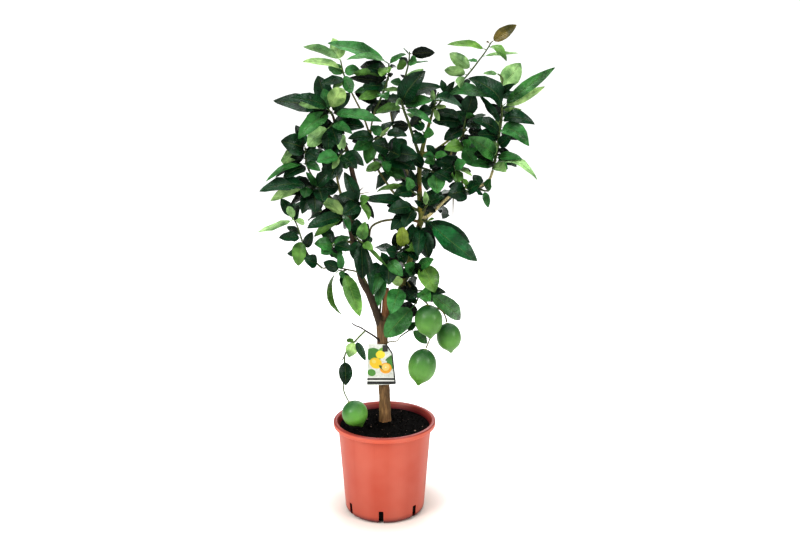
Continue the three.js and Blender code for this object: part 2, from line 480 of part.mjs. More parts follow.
// ---------- leafy shoots ----------
// Each shoot is a twig through places, its radius at the foot and at the end, and its leaves. A leaf
// is [share along the twig, tip x, tip z, tip depth, width, turn, arch].
const SHOOTS = {
  // the crown's left top
  top_left: {
    twig: [[-70, 908, -7], [-79, 932, -9], [-84, 956, -11]], radii: [2, 1.4],
    leaves: [
      [1, -158, 982, -30, 20, -60, 0.16], [1, -99, 999, 0, 31, -85, 0.05],
      [0.55, -160, 953, -36, 22, 42, 0.1], [0.1, -124, 910, -50, 22, 55, 0.04],
      [0, -101, 902, -60, 21, -50, 0.12], [0.35, -63, 893, -40, 23.5, -85, 0.05],
      [0.4, -46, 938, -8, 25, 58, 0.05], [0.3, -109, 944, -14, 26, 58, 0.1],
    ],
  },
  top_middle: {
    twig: [[-18, 856, -10], [-8, 876, -13], [4, 905, -15], [11, 930, -17], [11, 950, -18]], radii: [2.6, 1.5],
    leaves: [
      [1, -110, 989, -12, 33, 50, 0.07], [1, -73, 957, -50, 20, 36, 0.15],
      [0.97, 46, 968, -26, 18, 36, 0.12], [0.95, -4, 925, -55, 28, 48, 0],
      [0.75, -32, 943, -26, 26, 60, 0.15], [0.6, -60, 932, -46, 29, -52, 0.08],
      [0.5, -43, 903, -30, 29, 52, 0.1], [0.35, -50, 880, -50, 24, 56, 0.06],
      [0.3, 8, 880, -70, 25.5, 58, 0.1], [0.4, -58, 894, -20, 22, 50, 0.08],
      [0.9, 26, 944, 10, 10.5, 48, 0.1],
    ],
  },
  top_green: {
    twig: [
      [73, 768, -2], [62, 800, -6], [50, 836, -9], [38, 870, -9], [36, 892, -8], [43, 922, -8],
      [51, 955, -8], [52, 973, -8],
    ],
    radii: [3.4, 1.3],
    leaves: [
      [0.66, 14, 914, -22, 23, 42, 0.15], [0.62, -3, 898, -30, 13, -48, 0.05],
      [0.56, 25, 868, -14, 9.5, -80, 0], [0.5, 84, 936, -44, 44, 68, 0.16],
      [0.5, 118, 904, -20, 28, 56, 0.26], [0.5, 98, 878, -66, 27, 68, 0.06],
      [0.66, 80, 940, 12, 25, -85, 0.08], [0.92, 67, 952, -22, 21.5, 80, 0.05],
      [0.88, 90, 955, -12, 8.5, 20, 0], [0.88, 27, 942, -22, 23, -56, 0.1],
      [0.44, -16, 852, -34, 24, -50, 0.14], [0.44, 0, 858, 10, 14, 48, 0.2],
      [0.44, 98, 832, -44, 19.5, 48, 0.1], [0.4, 76, 834, -10, 13, -48, 0.02],
      [0.97, 40, 980, -20, 5.5, 20, 0],
    ],
  },
  limb_top: {
    twig: [[96, 846, 2], [101, 868, 0], [106, 885, 0], [110, 895, 0]], radii: [2.6, 1.4],
    leaves: [
      [0.3, 97, 902, -14, 10.5, -80, 0], [0.5, 118, 890, -22, 10.5, -80, 0],
      [0.2, 126, 867, -30, 9.5, -78, 0.05], [0.2, 112, 838, -30, 12, -68, 0.02],
      [0.1, 68, 853, -4, 25.5, 68, 0.1], [0.1, 90, 866, 22, 23.5, 78, 0.1],
      [0.05, 160, 843, -34, 23.5, 53, 0.06], [0.2, 158, 866, -40, 26, 40, 0.24],
    ],
  },
  right_fan: {
    twig: [[104, 864, 3], [115, 877, -4], [124, 891, -8]], radii: [2.1, 1.5],
    leaves: [
      [1, 142, 916, -22, 13, 80, 0.05], [1, 115, 919, -14, 14, 80, 0.1],
      [0.9, 212, 884, -44, 31, 48, 0.2], [0.8, 150, 898, 30, 23.5, 48, 0.1],
    ],
  },
  top_right_sprig: {
    twig: [[125, 891, -6], [146, 906, -10], [168, 929, -14], [190, 957, -18], [202, 973, -18], [213, 991, -20]],
    radii: [2.1, 1.3],
    leaves: [
      [1, 262, 1024, -34, 24.5, 78, 0.04], [0.97, 203, 991, -30, 8.5, 20, 0.1],
      [0.87, 126, 986, -40, 20, 42, 0.1], [0.92, 244, 954, -46, 20, 50, 0.24],
      [0.76, 268, 970, -36, 10.5, -43, 0.02], [0.52, 131, 970, -34, 26, -85, 0.05],
      [0.66, 168, 957, 4, 12, 40, 0], [0.42, 121, 938, -44, 24, -65, 0.05],
      [0.4, 149, 907, -54, 20, -70, 0.1], [0.3, 170, 902, 24, 21.5, 48, 0.1],
    ],
  },
  right_top: {
    twig: [[237, 856.8, -6], [234, 888, -8], [235, 906, -8], [236, 922, -8], [228, 930, -8]], radii: [2.8, 1.5],
    leaves: [
      [0.6, 272, 951, -20, 40.5, -85, 0.05], [0.45, 262, 911, -44, 15, 68, 0.1],
      [1, 198, 931, -16, 10.5, 58, 0.05], [0.12, 341, 943, -34, 26, 70, 0.04],
      [0.1, 322, 906, -6, 20.5, -78, -0.05], [0.04, 277, 860, -34, 10.5, -68, 0.02],
      [0.08, 168, 922, -46, 44, 54, 0.24], [0.4, 200, 900, 30, 25.5, 58, 0.1],
      [0.3, 272, 888, 46, 25.5, 48, 0.1],
    ],
  },
  right_upper: {
    twig: [[230.2, 780.8, -7], [233, 815, -7], [236, 838, -7], [237, 856, -6]], radii: [3, 2.8],
    leaves: [
      [0.75, 304, 831, -34, 28, 62, 0.34], [0.5, 294, 788, -54, 36, 62, 0.4],
      [0.1, 259, 808, -20, 23.5, 80, 0.05], [0.65, 190, 890, -22, 14, 68, 0.12],
      [0.4, 178, 840, -44, 30, 55, 0.2], [0.35, 188, 812, -62, 27, 68, 0.05],
      [0.5, 226, 848, -24, 13, -80, 0.02], [0.25, 196, 800, 46, 26, 50, 0.1],
      [0.8, 262, 870, 24, 23.5, 48, 0.1], [0.6, 275, 815, 34, 25.5, 58, 0.1],
    ],
  },
  right_lower: {
    twig: [[222.2, 740.8, -7], [225, 757, -8], [230, 780, -7]], radii: [3, 2.9],
    leaves: [
      [0.4, 196, 803, -46, 38, -75, 0.1], [0.6, 170, 806, -104, 36, 72, 0.08],
      [0.4, 168, 778, -40, 32, 68, 0.1], [0.1, 177, 748, -50, 25.5, 58, 0.08],
      [0.1, 313, 719, -54, 22, 44, 0.28], [0.5, 281, 761, -36, 21.5, 53, 0.1],
      [0.1, 249, 736, -44, 24, 70, 0.05], [0.7, 190, 780, 30, 30, 58, 0.1],
      [0.3, 270, 748, 34, 23.5, 53, 0.12], [0.1, 252, 742, -20, 26, 70, 0.1],
    ],
  },
  right_foot: {
    twig: [[191, 706, -10], [201, 699, -20], [214, 697, -26]], radii: [2.4, 1.5],
    leaves: [
      [0.2, 175, 689, -34, 9.5, 38, 0.05], [0.6, 214, 663, -38, 15, 80, 0],
      [0.1, 178, 706, -56, 36.5, 63, 0.1], [0.8, 218, 722, -50, 20, 60, 0.05],
      [0, 182, 730, -60, 27, 60, 0.1], [0.4, 204, 712, 30, 28, 58, 0.1],
    ],
  },
  right_heart: {
    twig: [[160, 812, -12], [163, 834, -14], [167, 852, -16]], radii: [2.2, 1.5],
    leaves: [
      [1, 180, 893, -24, 33, 85, 0.05], [0.6, 144, 857, -30, 21.5, 68, 0.1],
      [0.7, 182, 850, -44, 17, -58, 0.1], [0.1, 122, 800, -20, 29, 68, 0.05],
      [0.4, 196, 826, 10, 23.5, 58, 0.1], [0.9, 150, 884, 14, 23.5, 68, 0.1],
      [0.4, 98, 838, -10, 34, 60, 0.1],
    ],
  },
  heart_middle: {
    twig: [[170, 776, -12], [166, 782, -22], [158, 788, -30]], radii: [2, 1.5],
    leaves: [
      [0.8, 122, 781, -50, 28, 68, 0.2], [0.2, 138, 776, -34, 12, 40, 0.25],
      [0.6, 180, 800, -48, 21.5, 68, 0.1], [0.9, 186, 748, -26, 32, 80, 0.05],
    ],
  },
  heart_low: {
    twig: [[153, 738, -13], [146, 742, -24], [142, 748, -32]], radii: [2.2, 1.5],
    leaves: [
      [0.5, 112, 757, -44, 38.5, 58, 0.12], [0.1, 132, 735, -36, 12, -48, 0.1],
      [0.4, 180, 727, -40, 13, 48, 0.18], [1, 118, 736, -56, 23.5, 68, 0.05],
      [0.8, 168, 756, -56, 24, 70, 0.1], [0.3, 150, 712, -36, 26, 70, 0.05],
      [0.6, 130, 770, 0, 28, 58, 0.1],
    ],
  },
  cream_leaves: {
    twig: [[160, 703, -14], [166, 699, -26], [172, 696, -34]], radii: [2.2, 1.5],
    leaves: [
      [0.7, 131, 688, -44, 38.5, 78, 0.12], [0.3, 132, 706, -30, 23.5, 58, 0.1],
      [1, 198, 712, -84, 28, 60, 0.1], [0.6, 150, 676, -30, 25.5, 80, 0.05],
      [0.9, 160, 724, -40, 15, -48, 0.1],
    ],
  },
  fan_left: {
    twig: [[100, 779, -3], [102, 768, -12], [104, 758, -18]], radii: [2.2, 1.5],
    leaves: [
      [0.5, 129, 771, -34, 18, 58, 0.1], [0.3, 86, 790, -22, 19.5, 68, 0.1],
      [1, 82, 755, -36, 18, 68, 0.1], [1, 122, 746, -34, 19.5, 58, 0.1],
      [0.8, 80, 770, -10, 19.5, -58, 0.1],
    ],
  },
  limb_middle: {
    twig: [[74, 745, -2], [92, 740, -14], [105, 734, -22]], radii: [2.5, 1.6],
    leaves: [
      [1, 110, 692, -50, 36, 85, 0.08], [0.6, 88, 698, -36, 27, 80, 0.08],
      [0.8, 140, 716, -34, 25.5, 58, 0.1], [0.3, 84, 722, -30, 17, 78, 0.05],
      [0.5, 118, 752, 16, 25.5, 58, 0.1], [0.1, 50, 774, 20, 26, 60, 0.1],
    ],
  },
  limb_scar: {
    twig: [[79, 657, -2], [86, 663, -12], [88, 668, -18]], radii: [2.2, 1.5],
    leaves: [
      [0.8, 84, 698, -24, 13, 80, 0.05], [1, 126, 685, -38, 23.5, 53, 0.12],
      [1, 98, 700, -30, 21.5, 78, 0.05], [0.3, 62, 678, -22, 13, 58, 0.05],
      [0.5, 120, 664, 20, 25.5, 58, 0.1],
    ],
  },
  limb_high: {
    twig: [[84, 804, 3], [82, 812, -8], [80, 816, -16]], radii: [2.2, 1.5],
    leaves: [
      [0.3, 60, 794, -20, 28, 78, 0.1], [0.8, 102, 812, -34, 23.5, 78, 0.05],
      [1, 62, 838, 0, 23.5, 68, 0.1],
    ],
  },
  // the crown's dark middle
  middle_dark: {
    twig: [[-11, 742, -13], [2, 758, -24], [14, 778, -30]], radii: [2.4, 1.6],
    leaves: [
      [1, -24, 792, -44, 38.5, 58, 0.1], [1, 34, 768, -70, 43, 80, 0.05],
      [0.9, 70, 766, -40, 36.5, 68, 0.1], [0.6, 66, 740, -44, 34, 58, 0.1],
      [0.4, -6, 776, -40, 19.5, 80, 0.05], [0.5, 10, 736, -56, 19.5, 80, 0.05],
      [0.3, -36, 738, -44, 19.5, -68, 0.05], [0.8, 46, 800, -10, 38.5, 68, 0.1],
      [0.5, 40, 748, 20, 34, 48, 0.1], [0.3, 44, 724, -30, 19.5, 58, 0.1],
      [0.1, 34, 722, -16, 24, 60, 0.1],
    ],
  },
  middle_top: {
    twig: [[-26, 800, -13], [-12, 804, -24], [4, 812, -32]], radii: [2, 1.5],
    leaves: [
      [1, 48, 808, -50, 21.5, 58, 0.15], [0.6, 12, 826, -44, 8.5, -60, 0],
      [0.3, -72, 803, -44, 25.5, 58, 0.14], [0.7, -26, 828, -24, 23.5, 58, 0.1],
      [0.2, -62, 780, -30, 25.5, 78, 0.05], [0.1, -34, 752, -34, 28, 80, 0.02],
      [0.8, 20, 836, 10, 23.5, 48, 0.1],
    ],
  },
  // the left crown
  left_crown: {
    twig: [[-101, 848, -14], [-106, 856, -22], [-110, 862, -30]], radii: [2.6, 1.8],
    leaves: [
      [0, -2, 836, -56, 31, 46, 0.06], [0.1, -172, 802, -44, 34, 66, 0.2],
      [0.7, -168, 872, -84, 27, -62, 0.14], [0.8, -220, 878, -40, 40, 56, 0.05],
      [0.9, -185, 883, -52, 28, 56, 0.14], [1, -130, 927, -20, 37, 85, 0.1],
      [1, -119, 902, -62, 27, 80, 0.08], [0.9, -80, 902, -66, 36.5, -85, 0.05],
      [0.2, -66, 893, 0, 27, 80, 0.1],
    ],
  },
  left_crown_low: {
    twig: [[-97, 836, -14], [-104, 830, -24], [-108, 826, -32]], radii: [2.2, 1.6],
    leaves: [
      [1, -154, 788, -70, 35.5, -73, 0.1], [0.3, -42, 852, -30, 21.5, 58, 0.12],
      [0.5, -132, 820, -10, 19.5, 58, 0.1], [0.6, -92, 790, -50, 32, 80, 0.08],
      [1, -112, 776, -40, 28, 85, 0.05], [0.2, -66, 822, -76, 12, -48, 0.05],
      [0.9, -150, 838, 20, 25.5, 58, 0.1], [0.1, -38, 826, -20, 36, 60, 0.08],
      [0.3, -62, 812, -60, 22, 60, 0.1],
    ],
  },
  left_limb_leaves: {
    twig: [[-74, 782, -17], [-82, 776, -28], [-88, 768, -36]], radii: [2.4, 1.6],
    leaves: [
      [0.2, -40, 748, -44, 25.5, 68, 0.12], [1, -136, 756, -50, 32, 58, 0.1],
      [0.7, -74, 742, -44, 25.5, -68, 0.05], [0.5, -80, 812, -50, 21.5, -58, 0.1],
      [1, -104, 742, -56, 13, -80, 0.02], [0.8, -110, 720, -40, 32, 80, 0.05],
      [0.9, -122, 716, -30, 36, 78, 0.06], [0.9, -120, 790, 0, 25.5, 68, 0.1],
      [0.9, -54, 742, -84, 28, 60, 0.08],
    ],
  },
  left_shoulder: {
    twig: [[-151, 738, -12], [-157, 758, -16], [-158, 785, -18]], radii: [2.2, 1.5],
    leaves: [
      [0.95, -207, 798, -50, 45, 76, 0.14], [0.5, -208, 760, -50, 42, -62, 0.1],
      [0.2, -240, 716, -56, 18, 42, 0.14], [0.1, -204, 724, -34, 32, 55, 0.1],
      [0.8, -126, 758, -44, 28, 68, 0.1], [0.6, -136, 792, -34, 15, 80, 0.05],
      [0.3, -128, 738, -40, 19.5, 78, 0.1], [0.7, -196, 780, 24, 28, 48, 0.1],
      [1, -176, 830, 10, 21.5, 68, 0.1],
    ],
  },
  left_arm_leaves: {
    twig: [[-128, 704, -13], [-142, 706, -24], [-154, 706, -32]], radii: [2.2, 1.5],
    leaves: [
      [0.8, -254, 696, -60, 37, 48, 0.14], [1, -163, 683, -56, 25, 80, 0.05],
      [0.9, -232, 677, -70, 26, -58, 0.1], [0.4, -168, 650, -46, 28, 78, 0.1],
      [0.3, -140, 652, -56, 36.5, 80, 0.1], [0, -124, 672, -70, 32, 78, 0.05],
      [0.6, -190, 716, 20, 28, 58, 0.1], [0.2, -158, 736, -50, 15, 68, 0.05],
      [0.1, -92, 704, -40, 38, 75, 0.08], [0.3, -104, 740, -20, 28, 70, 0.08],
    ],
  },
  left_arm_low: {
    twig: [[-90, 661, -16], [-85, 652, -28], [-80, 644, -36]], radii: [2.2, 1.5],
    leaves: [
      [1, -128, 679, -64, 28, -62, 0.12], [1, -158, 620, -50, 31, 58, 0.12],
      [0.6, -70, 612, -60, 15, 68, 0.1], [1, -144, 602, -60, 25.5, -53, 0.1],
      [0.8, -128, 640, -20, 28, 68, 0.1], [0.5, -100, 690, 10, 30, 58, 0.1],
      [0.4, -76, 622, 14, 24, 70, 0.08],
    ],
  },
  left_outer: {
    twig: [
      [-128, 536, -36], [-150, 556, -38], [-160, 570, -38], [-168, 592, -38], [-180, 630, -38],
      [-186, 641, -38],
    ],
    radii: [2, 1.4],
    leaves: [
      [0.98, -260, 612, -60, 20, 40, -0.03], [1, -210, 682, -26, 23.5, 80, 0.08],
      [0.98, -196, 666, -56, 17, -80, 0.05], [0.96, -163, 630, -50, 14, -68, 0.1],
      [0.62, -217, 600, -50, 25, 55, 0.08], [0.66, -199, 624, -20, 16, 68, 0.1],
      [0.6, -178, 541, -44, 31, 75, 0.08], [0.42, -147, 613, -44, 20.5, 80, 0.1],
      [0.05, -166, 557, -44, 29, 72, 0.05], [0.9, -176, 668, 0, 21.5, 58, 0.1],
      [0.2, -200, 568, 14, 25, 58, 0.1],
    ],
  },
  left_spray_leaves: {
    twig: [[-78, 533, -30], [-86, 530, -38], [-94, 532, -44]], radii: [1.9, 1.5],
    leaves: [
      [1, -88, 434, -46, 24, 30, -0.32], [0, -82, 492, -36, 24, 75, 0.05],
      [0.2, -51, 432, -50, 33, 80, 0.08], [0.9, -126, 549, -50, 25.5, 78, 0.1],
      [0.6, -92, 572, -50, 16, 80, 0.05], [0.6, -86, 514, -64, 13, 80, 0.02],
    ],
  },
  left_inner_leaves: {
    twig: [[-98, 588, -31], [-104, 584, -38], [-108, 580, -44]], radii: [2, 1.5],
    leaves: [
      [0.6, -144, 588, -64, 30, 68, 0.1], [1, -130, 566, -70, 26, 74, 0.05],
      [0.3, -66, 574, -60, 25.5, 58, 0.1], [0.2, -92, 554, -30, 22, 80, 0.05],
      [0.7, -122, 612, -20, 23.5, 58, 0.1], [0.4, -70, 602, -56, 21.5, -58, 0.1],
      [0.2, -132, 622, -20, 28, 60, 0.08],
    ],
  },
  left_limb_low: {
    twig: [[-64, 606, -19], [-52, 596, -30], [-44, 590, -38]], radii: [2.4, 1.6],
    leaves: [
      [0.7, -38, 634, -46, 25, 85, 0.05], [1, -22, 576, -46, 18, 78, 0.05],
      [0.8, -45, 512, -50, 34, 85, 0.06], [1, 8, 537, -60, 9.5, 58, 0.02],
      [0.4, -62, 554, -50, 25.5, 80, 0.08], [0.9, -24, 600, -20, 21.5, 68, 0.1],
      [1, -27, 482, -40, 20, 60, 0.08], [0.3, -56, 640, -26, 28, 80, 0.05],
    ],
  },
  left_limb_mid: {
    twig: [[-58, 668, -18], [-50, 672, -28], [-44, 676, -34]], radii: [2.2, 1.5],
    leaves: [
      [0.6, -28, 684, -50, 21.5, 68, 0.1], [0.3, -31, 637, -50, 17, 56, 0.3],
      [0.2, -92, 690, -50, 32, 78, 0.1], [0.4, -84, 648, -60, 32, 83, 0.05],
      [0.1, -64, 636, -84, 22, 80, 0.02], [0.2, -80, 736, -30, 26, 80, 0.05],
    ],
  },
  // the right limb's own leaves
  limb_left_high: {
    twig: [[74, 688, -2], [64, 692, -12], [56, 698, -20]], radii: [2.3, 1.5],
    leaves: [
      [0.9, -15, 694, -50, 16, -48, 0.2], [0.7, 20, 688, -40, 29, 58, 0.1],
      [1, 46, 726, -30, 21.5, 68, 0.1], [0.6, 54, 742, -12, 19.5, 80, 0.05],
      [0.4, 30, 712, 10, 25.5, 58, 0.1],
    ],
  },
  limb_left_low: {
    twig: [[71, 656, -1], [64, 660, -12], [58, 664, -22]], radii: [2.4, 1.6],
    leaves: [
      [0.9, -46, 679, -44, 28, 50, 0.1], [1, 8, 655, -50, 32, 68, 0.12],
      [0.5, 14, 616, -50, 34, 73, 0.08], [0.7, 40, 622, -60, 30, 80, 0.05],
      [0.3, 48, 640, 10, 32, 58, 0.1],
    ],
  },
  yellow_drop: {
    twig: [[58, 580, 10], [42, 578, -4], [28, 568, -14]], radii: [2.4, 1.5],
    leaves: [
      [0.5, 36, 627, -22, 28, 85, 0.04], [1, 4, 574, -30, 26, 80, 0.05],
      [0.3, 70, 552, -40, 28, 58, 0.1], [0.8, 44, 546, -44, 23.5, 78, 0.05],
      [0.2, 72, 572, -50, 21.5, 68, 0.1], [0, 60, 630, -6, 28, 80, 0.05],
    ],
  },
  limb_drop: {
    twig: [[70, 624, 4], [74, 622, -8], [78, 618, -18]], radii: [2.4, 1.6],
    leaves: [
      [0.6, 70, 560, -50, 28, 85, 0.06], [1, 92, 556, -44, 36, 85, 0.06],
      [0.3, 52, 596, -44, 23.5, 80, 0.05], [0.4, 102, 598, -20, 19.5, 80, 0.05],
    ],
  },
  veined: {
    twig: [[79, 638, 0], [86, 636, -12], [92, 634, -20]], radii: [2.4, 1.7],
    leaves: [
      [1, 194, 551, -66, 47, 66, -0.05], [0.5, 178, 590, -20, 32, 78, 0.12],
      [0.3, 110, 604, 6, 28, 80, 0.05], [0.8, 104, 640, -34, 8.5, 40, 0.05],
    ],
  },
  stub_twig: {
    twig: [[-9, 440, 0], [-6, 480, -7], [-5, 515, -9], [0, 540, -11], [8, 552, -13]], radii: [2.4, 1.5],
    leaves: [
      [0.74, -13, 454, -44, 25.5, 85, 0.06], [0.86, -34, 528, -44, 25.5, 68, 0.05],
      [1, 10, 500, -50, 38.5, 85, 0.06], [1, 39, 519, -40, 27, 83, 0.1],
      [0.95, -6, 570, -40, 19.5, 80, 0.05], [0.8, 24, 545, 20, 28, 58, 0.1],
      [0.9, -24, 478, -20, 24, 80, 0.05],
    ],
  },
  fruiting: {
    twig: [[46, 510, 4], [62, 530, -8], [80, 546, -16]], radii: [2.4, 1.6],
    leaves: [
      [1, 106, 484, -50, 44, 80, 0.06], [0.5, 42, 543, -40, 30, 75, 0.08],
      [0.8, 104, 556, -40, 23.5, 78, 0.05], [0.7, 40, 524, -24, 28, 80, 0.05],
      [0, 66, 500, 30, 30, 70, 0.05],
    ],
  },
  fruiting_low: {
    twig: [[63, 486, -9], [74, 488, -18], [84, 488, -22]], radii: [2, 1.5],
    leaves: [
      [1, 161, 426, 30, 37, 75, 0.1], [0.5, 97, 464, -92, 30, 78, 0.06],
      [0.2, 50, 470, -50, 23.5, 80, 0.05], [0.6, 130, 484, -34, 21.5, 68, 0.1],
    ],
  },
  trunk_leaves: {
    twig: [[30, 481, 14], [30, 488, -2], [34, 496, -14]], radii: [2.6, 1.7],
    leaves: [
      [1, 14, 437, -84, 38.5, 85, 0.06], [0.6, 70, 460, -30, 21.5, 78, 0.06],
      [0.9, 22, 518, -34, 23.5, -78, 0.05],
    ],
  },
  big_low_leaf: {
    twig: [[72, 475, -18], [68, 464, -26], [63, 456, -32]], radii: [1.9, 1.5],
    leaves: [[1, 1, 387, -24, 49, 85, 0.08]],
  },
  low_right: {
    twig: [[33.3, 387.6, -35], [46, 397, -36], [57, 404, -36]], radii: [1.5, 1.4],
    leaves: [[1, 91, 373, -50, 20.5, 80, 0.06], [0.6, 66, 420, -20, 15, 80, 0.05]],
  },
  low_left: {
    twig: [
      [-40, 401, -28], [-60, 380, -34], [-83, 350, -38], [-85, 325, -38], [-86, 300, -38], [-88, 270, -37],
      [-77.5, 243, -36],
    ],
    radii: [2, 1.5],
    leaves: [
      [0.16, -80, 382, -46, 13, -58, 0.05], [0.14, -76, 342, -54, 26, 85, 0.05],
      [0.12, -40, 334, -50, 16, 85, 0.05], [0.42, -83, 279, -52, 29, 85, 0.05],
      [0.6, -97, 296, -40, 5.5, 20, 0], [0.36, -91, 334, -44, 5.5, 20, 0],
    ],
  },
  // behind the trunk line
  back_left_low: {
    twig: [[-72, 646, 74], [-104, 650, 96], [-132, 656, 110]], radii: [2.2, 1.5],
    leaves: [
      [1, -196, 664, 120, 38.5, 30, 0.1], [0.8, -150, 640, 168, 36.5, 40, 0.12],
      [0.6, -130, 700, 130, 32, 50, 0.1], [0.5, -110, 610, 130, 36.5, -40, 0.1],
      [0.3, -80, 690, 120, 34, 40, 0.1], [0.9, -160, 700, 60, 32, 40, 0.1],
    ],
  },
  back_left_high: {
    twig: [[-100, 762, 121], [-118, 780, 132], [-130, 800, 138]], radii: [2.3, 1.5],
    leaves: [
      [1, -178, 821, 137, 36, 33, 0.1], [1, -130, 840, 176, 34, 40, 0.1],
      [0.6, -70, 790, 160, 36.5, 30, 0.12], [0.4, -150, 760, 160, 36.5, -40, 0.1],
      [0.3, -90, 720, 176, 34, 40, 0.1], [0.8, -102, 836, 102, 32, 42, 0.1],
      [0.2, -160, 750, 90, 32, 40, 0.1],
    ],
  },
  back_middle_low: {
    twig: [[57, 718, 38], [30, 728, 66], [12, 742, 86]], radii: [2.3, 1.5],
    leaves: [
      [1, -22, 760, 110, 36.5, 30, 0.1], [1, 24, 740, 150, 36.5, 40, 0.1],
      [0.6, 50, 760, 110, 34, 40, 0.1], [0.4, 50, 690, 110, 36.5, -40, 0.1],
      [0.7, -16, 700, 120, 34, 40, 0.1],
    ],
  },
  back_middle_high: {
    twig: [[14, 858, 108], [6, 876, 112], [2, 892, 112]], radii: [2, 1.5],
    leaves: [
      [1, -34, 916, 130, 34, 30, 0.1], [1, 8, 920, 168, 32, 40, 0.1], [0.5, 48, 872, 140, 34, 40, 0.12],
      [0.3, -36, 850, 120, 36.5, -30, 0.1], [0.2, 20, 838, 176, 32, 40, 0.1],
    ],
  },
  back_right_low: {
    twig: [[86, 664, 93], [110, 668, 112], [134, 680, 122]], radii: [2.3, 1.5],
    leaves: [
      [1, 182, 692, 130, 36.5, 30, 0.1], [0.8, 140, 700, 180, 36.5, 40, 0.1],
      [0.6, 120, 640, 150, 34, -30, 0.1], [0.4, 96, 700, 130, 36.5, 40, 0.1],
      [0.3, 84, 630, 130, 34, 40, 0.1],
    ],
  },
  back_right_high: {
    twig: [[140, 782, 134], [152, 800, 140], [166, 820, 142]], radii: [2.4, 1.5],
    leaves: [
      [1, 206, 850, 150, 36.5, 30, 0.1], [1, 168, 866, 180, 34, 40, 0.1],
      [0.6, 130, 830, 160, 36.5, 40, 0.1], [0.4, 190, 790, 160, 36.5, -30, 0.1],
      [0.2, 120, 750, 176, 34, 40, 0.1], [0.3, 200, 770, 110, 32, 40, 0.1],
      [0.8, 140, 850, 90, 32, 50, 0.1],
    ],
  },
  back_low: {
    twig: [[50, 532, 18], [40, 548, 52], [26, 566, 78]], radii: [2.6, 1.5],
    leaves: [
      [1, -20, 580, 110, 36.5, 30, 0.1], [1, 24, 560, 140, 36.5, 40, 0.1],
      [0.6, 70, 560, 110, 34, 40, 0.1], [0.7, 10, 520, 100, 34, -30, 0.1],
      [0.4, 80, 520, 90, 32, 40, 0.1],
    ],
  },
};

// The share of a twig's length where it comes clear of the wood that it grows from.
function clearShare(points) {
  const wood = obstacles.stems.filter((part) => part.owner === 'trunk_and_limbs');
  for (let share = 0; share < 0.7; share += 0.05) {
    const point = alongStem(points, share);
    const clear = (part) => distanceToSegment(point, part.start, part.end) > part.radius + ROOT_ROOM;
    if (wood.every(clear)) return share;
  }
  return 0.7;
}

function shootLeaves(name) {
  const { twig, leaves } = SHOOTS[name];
  const points = twig.map(place);
  const first = clearShare(points);
  const kept = [];
  for (const [share, x, z, depth, width, turn, arch] of leaves) {
    const root = alongStem(points, first + (1 - first) * share);
    for (const nudge of NUDGES) {
      const leaf = makeLeaf(root, place([x, z, depth + nudge]), width, turn, arch);
      if (isClear(leaf, name)) {
        kept.push(leaf);
        break;
      }
    }
  }
  return kept;
}

function twigRadii({ twig, radii }) {
  return twig.map((row, i) => radii[0] + ((radii[1] - radii[0]) * i) / (twig.length - 1));
}

function makeShoots(woodRoom) {
  for (const [name, shoot] of Object.entries(SHOOTS)) noteStem(shoot.twig, twigRadii(shoot), name);
  for (const [name, shoot] of Object.entries(SHOOTS)) {
    const bodies = [stem(shoot.twig, twigRadii(shoot), 3), ...shootLeaves(name).map(leafBody)];
    const body = largest(joined(bodies).subtract(woodRoom));
    addPiece(`shoot_${name}`, geometryOf(body), { color: 0x2f6b33, roughness: 0.4, metalness: 0 });
  }
}

// ---------- compost ----------
// The wall's inside radius at a height above the rounded corner.
function wallInside(z) {
  const rise = (z - FOOT_ROUND - 1) / (POT_HEIGHT - 8 - FOOT_ROUND);
  return WALL_FOOT_RADIUS + (WALL_TOP_RADIUS - WALL_FOOT_RADIUS) * rise - WALL;
}

function makeSoil(woodRoom) {
  const clear = GAP / Math.cos(Math.PI / POT_SEGMENTS);
  const profile = [
    [0, WALL + GAP], [WALL_FOOT_RADIUS - FOOT_ROUND - 1, WALL + GAP],
    [wallInside(FOOT_ROUND + 6) - 3, FOOT_ROUND + 2], [wallInside(FOOT_ROUND + 6) - clear, FOOT_ROUND + 6],
    [wallInside(SOIL_EDGE - 3) - clear, SOIL_EDGE - 3], [wallInside(SOIL_EDGE) - 3, SOIL_EDGE],
    [66, SOIL_EDGE + 1.5], [36, SOIL_EDGE + 0.6 * SOIL_MOUND],
    [18, SOIL_EDGE + SOIL_MOUND], [0, SOIL_EDGE + SOIL_MOUND],
  ].map(([r, z]) => new THREE.Vector2(r, z));
  const geometry = new THREE.LatheGeometry(profile, POT_SEGMENTS / 2).rotateX(Math.PI / 2);
  const points = geometry.attributes.position;
  for (let i = 0; i < points.count; i++) {
    const [x, y, z] = [points.getX(i), points.getY(i), points.getZ(i)];
    const away = Math.hypot(x, y);
    if (z > SOIL_EDGE + 1 && away > 20) points.setZ(i, z + 1.6 * Math.sin(x / 9) * Math.cos(y / 7 + x / 23));
  }
  const soil = largest(solid(geometry).subtract(woodRoom));
  addPiece('soil', geometryOf(soil), { color: 0x1d1613, roughness: 0.95, metalness: 0 });
}

// ---------- lemons ----------
// Each hangs from its stalk end towards its nipple: places of both, and its diameter.
const LEMONS = {
  lemon_front: { stalk: [90, 458, -44], nipple: [98, 383, -50], diameter: 59 },
  lemon_right: { stalk: [132, 418, -14], nipple: [142, 352, -18], diameter: 53 },
  lemon_low: { stalk: [88, 361, -46], nipple: [72, 279, -50], diameter: 60 },
  lemon_left: { stalk: [-77, 242, -36], nipple: [-49, 184, -42], diameter: 56 },
};
const LEMON_SEGMENTS = 12;
const LEMON_OUTLINE = [
  // share of the length from the stalk end, share of the radius
  [0, 0], [0, 0.1], [0.03, 0.38], [0.13, 0.72], [0.28, 0.94], [0.46, 1], [0.63, 0.93], [0.79, 0.7],
  [0.9, 0.34], [0.93, 0.22], [1, 0.08], [1, 0],
];

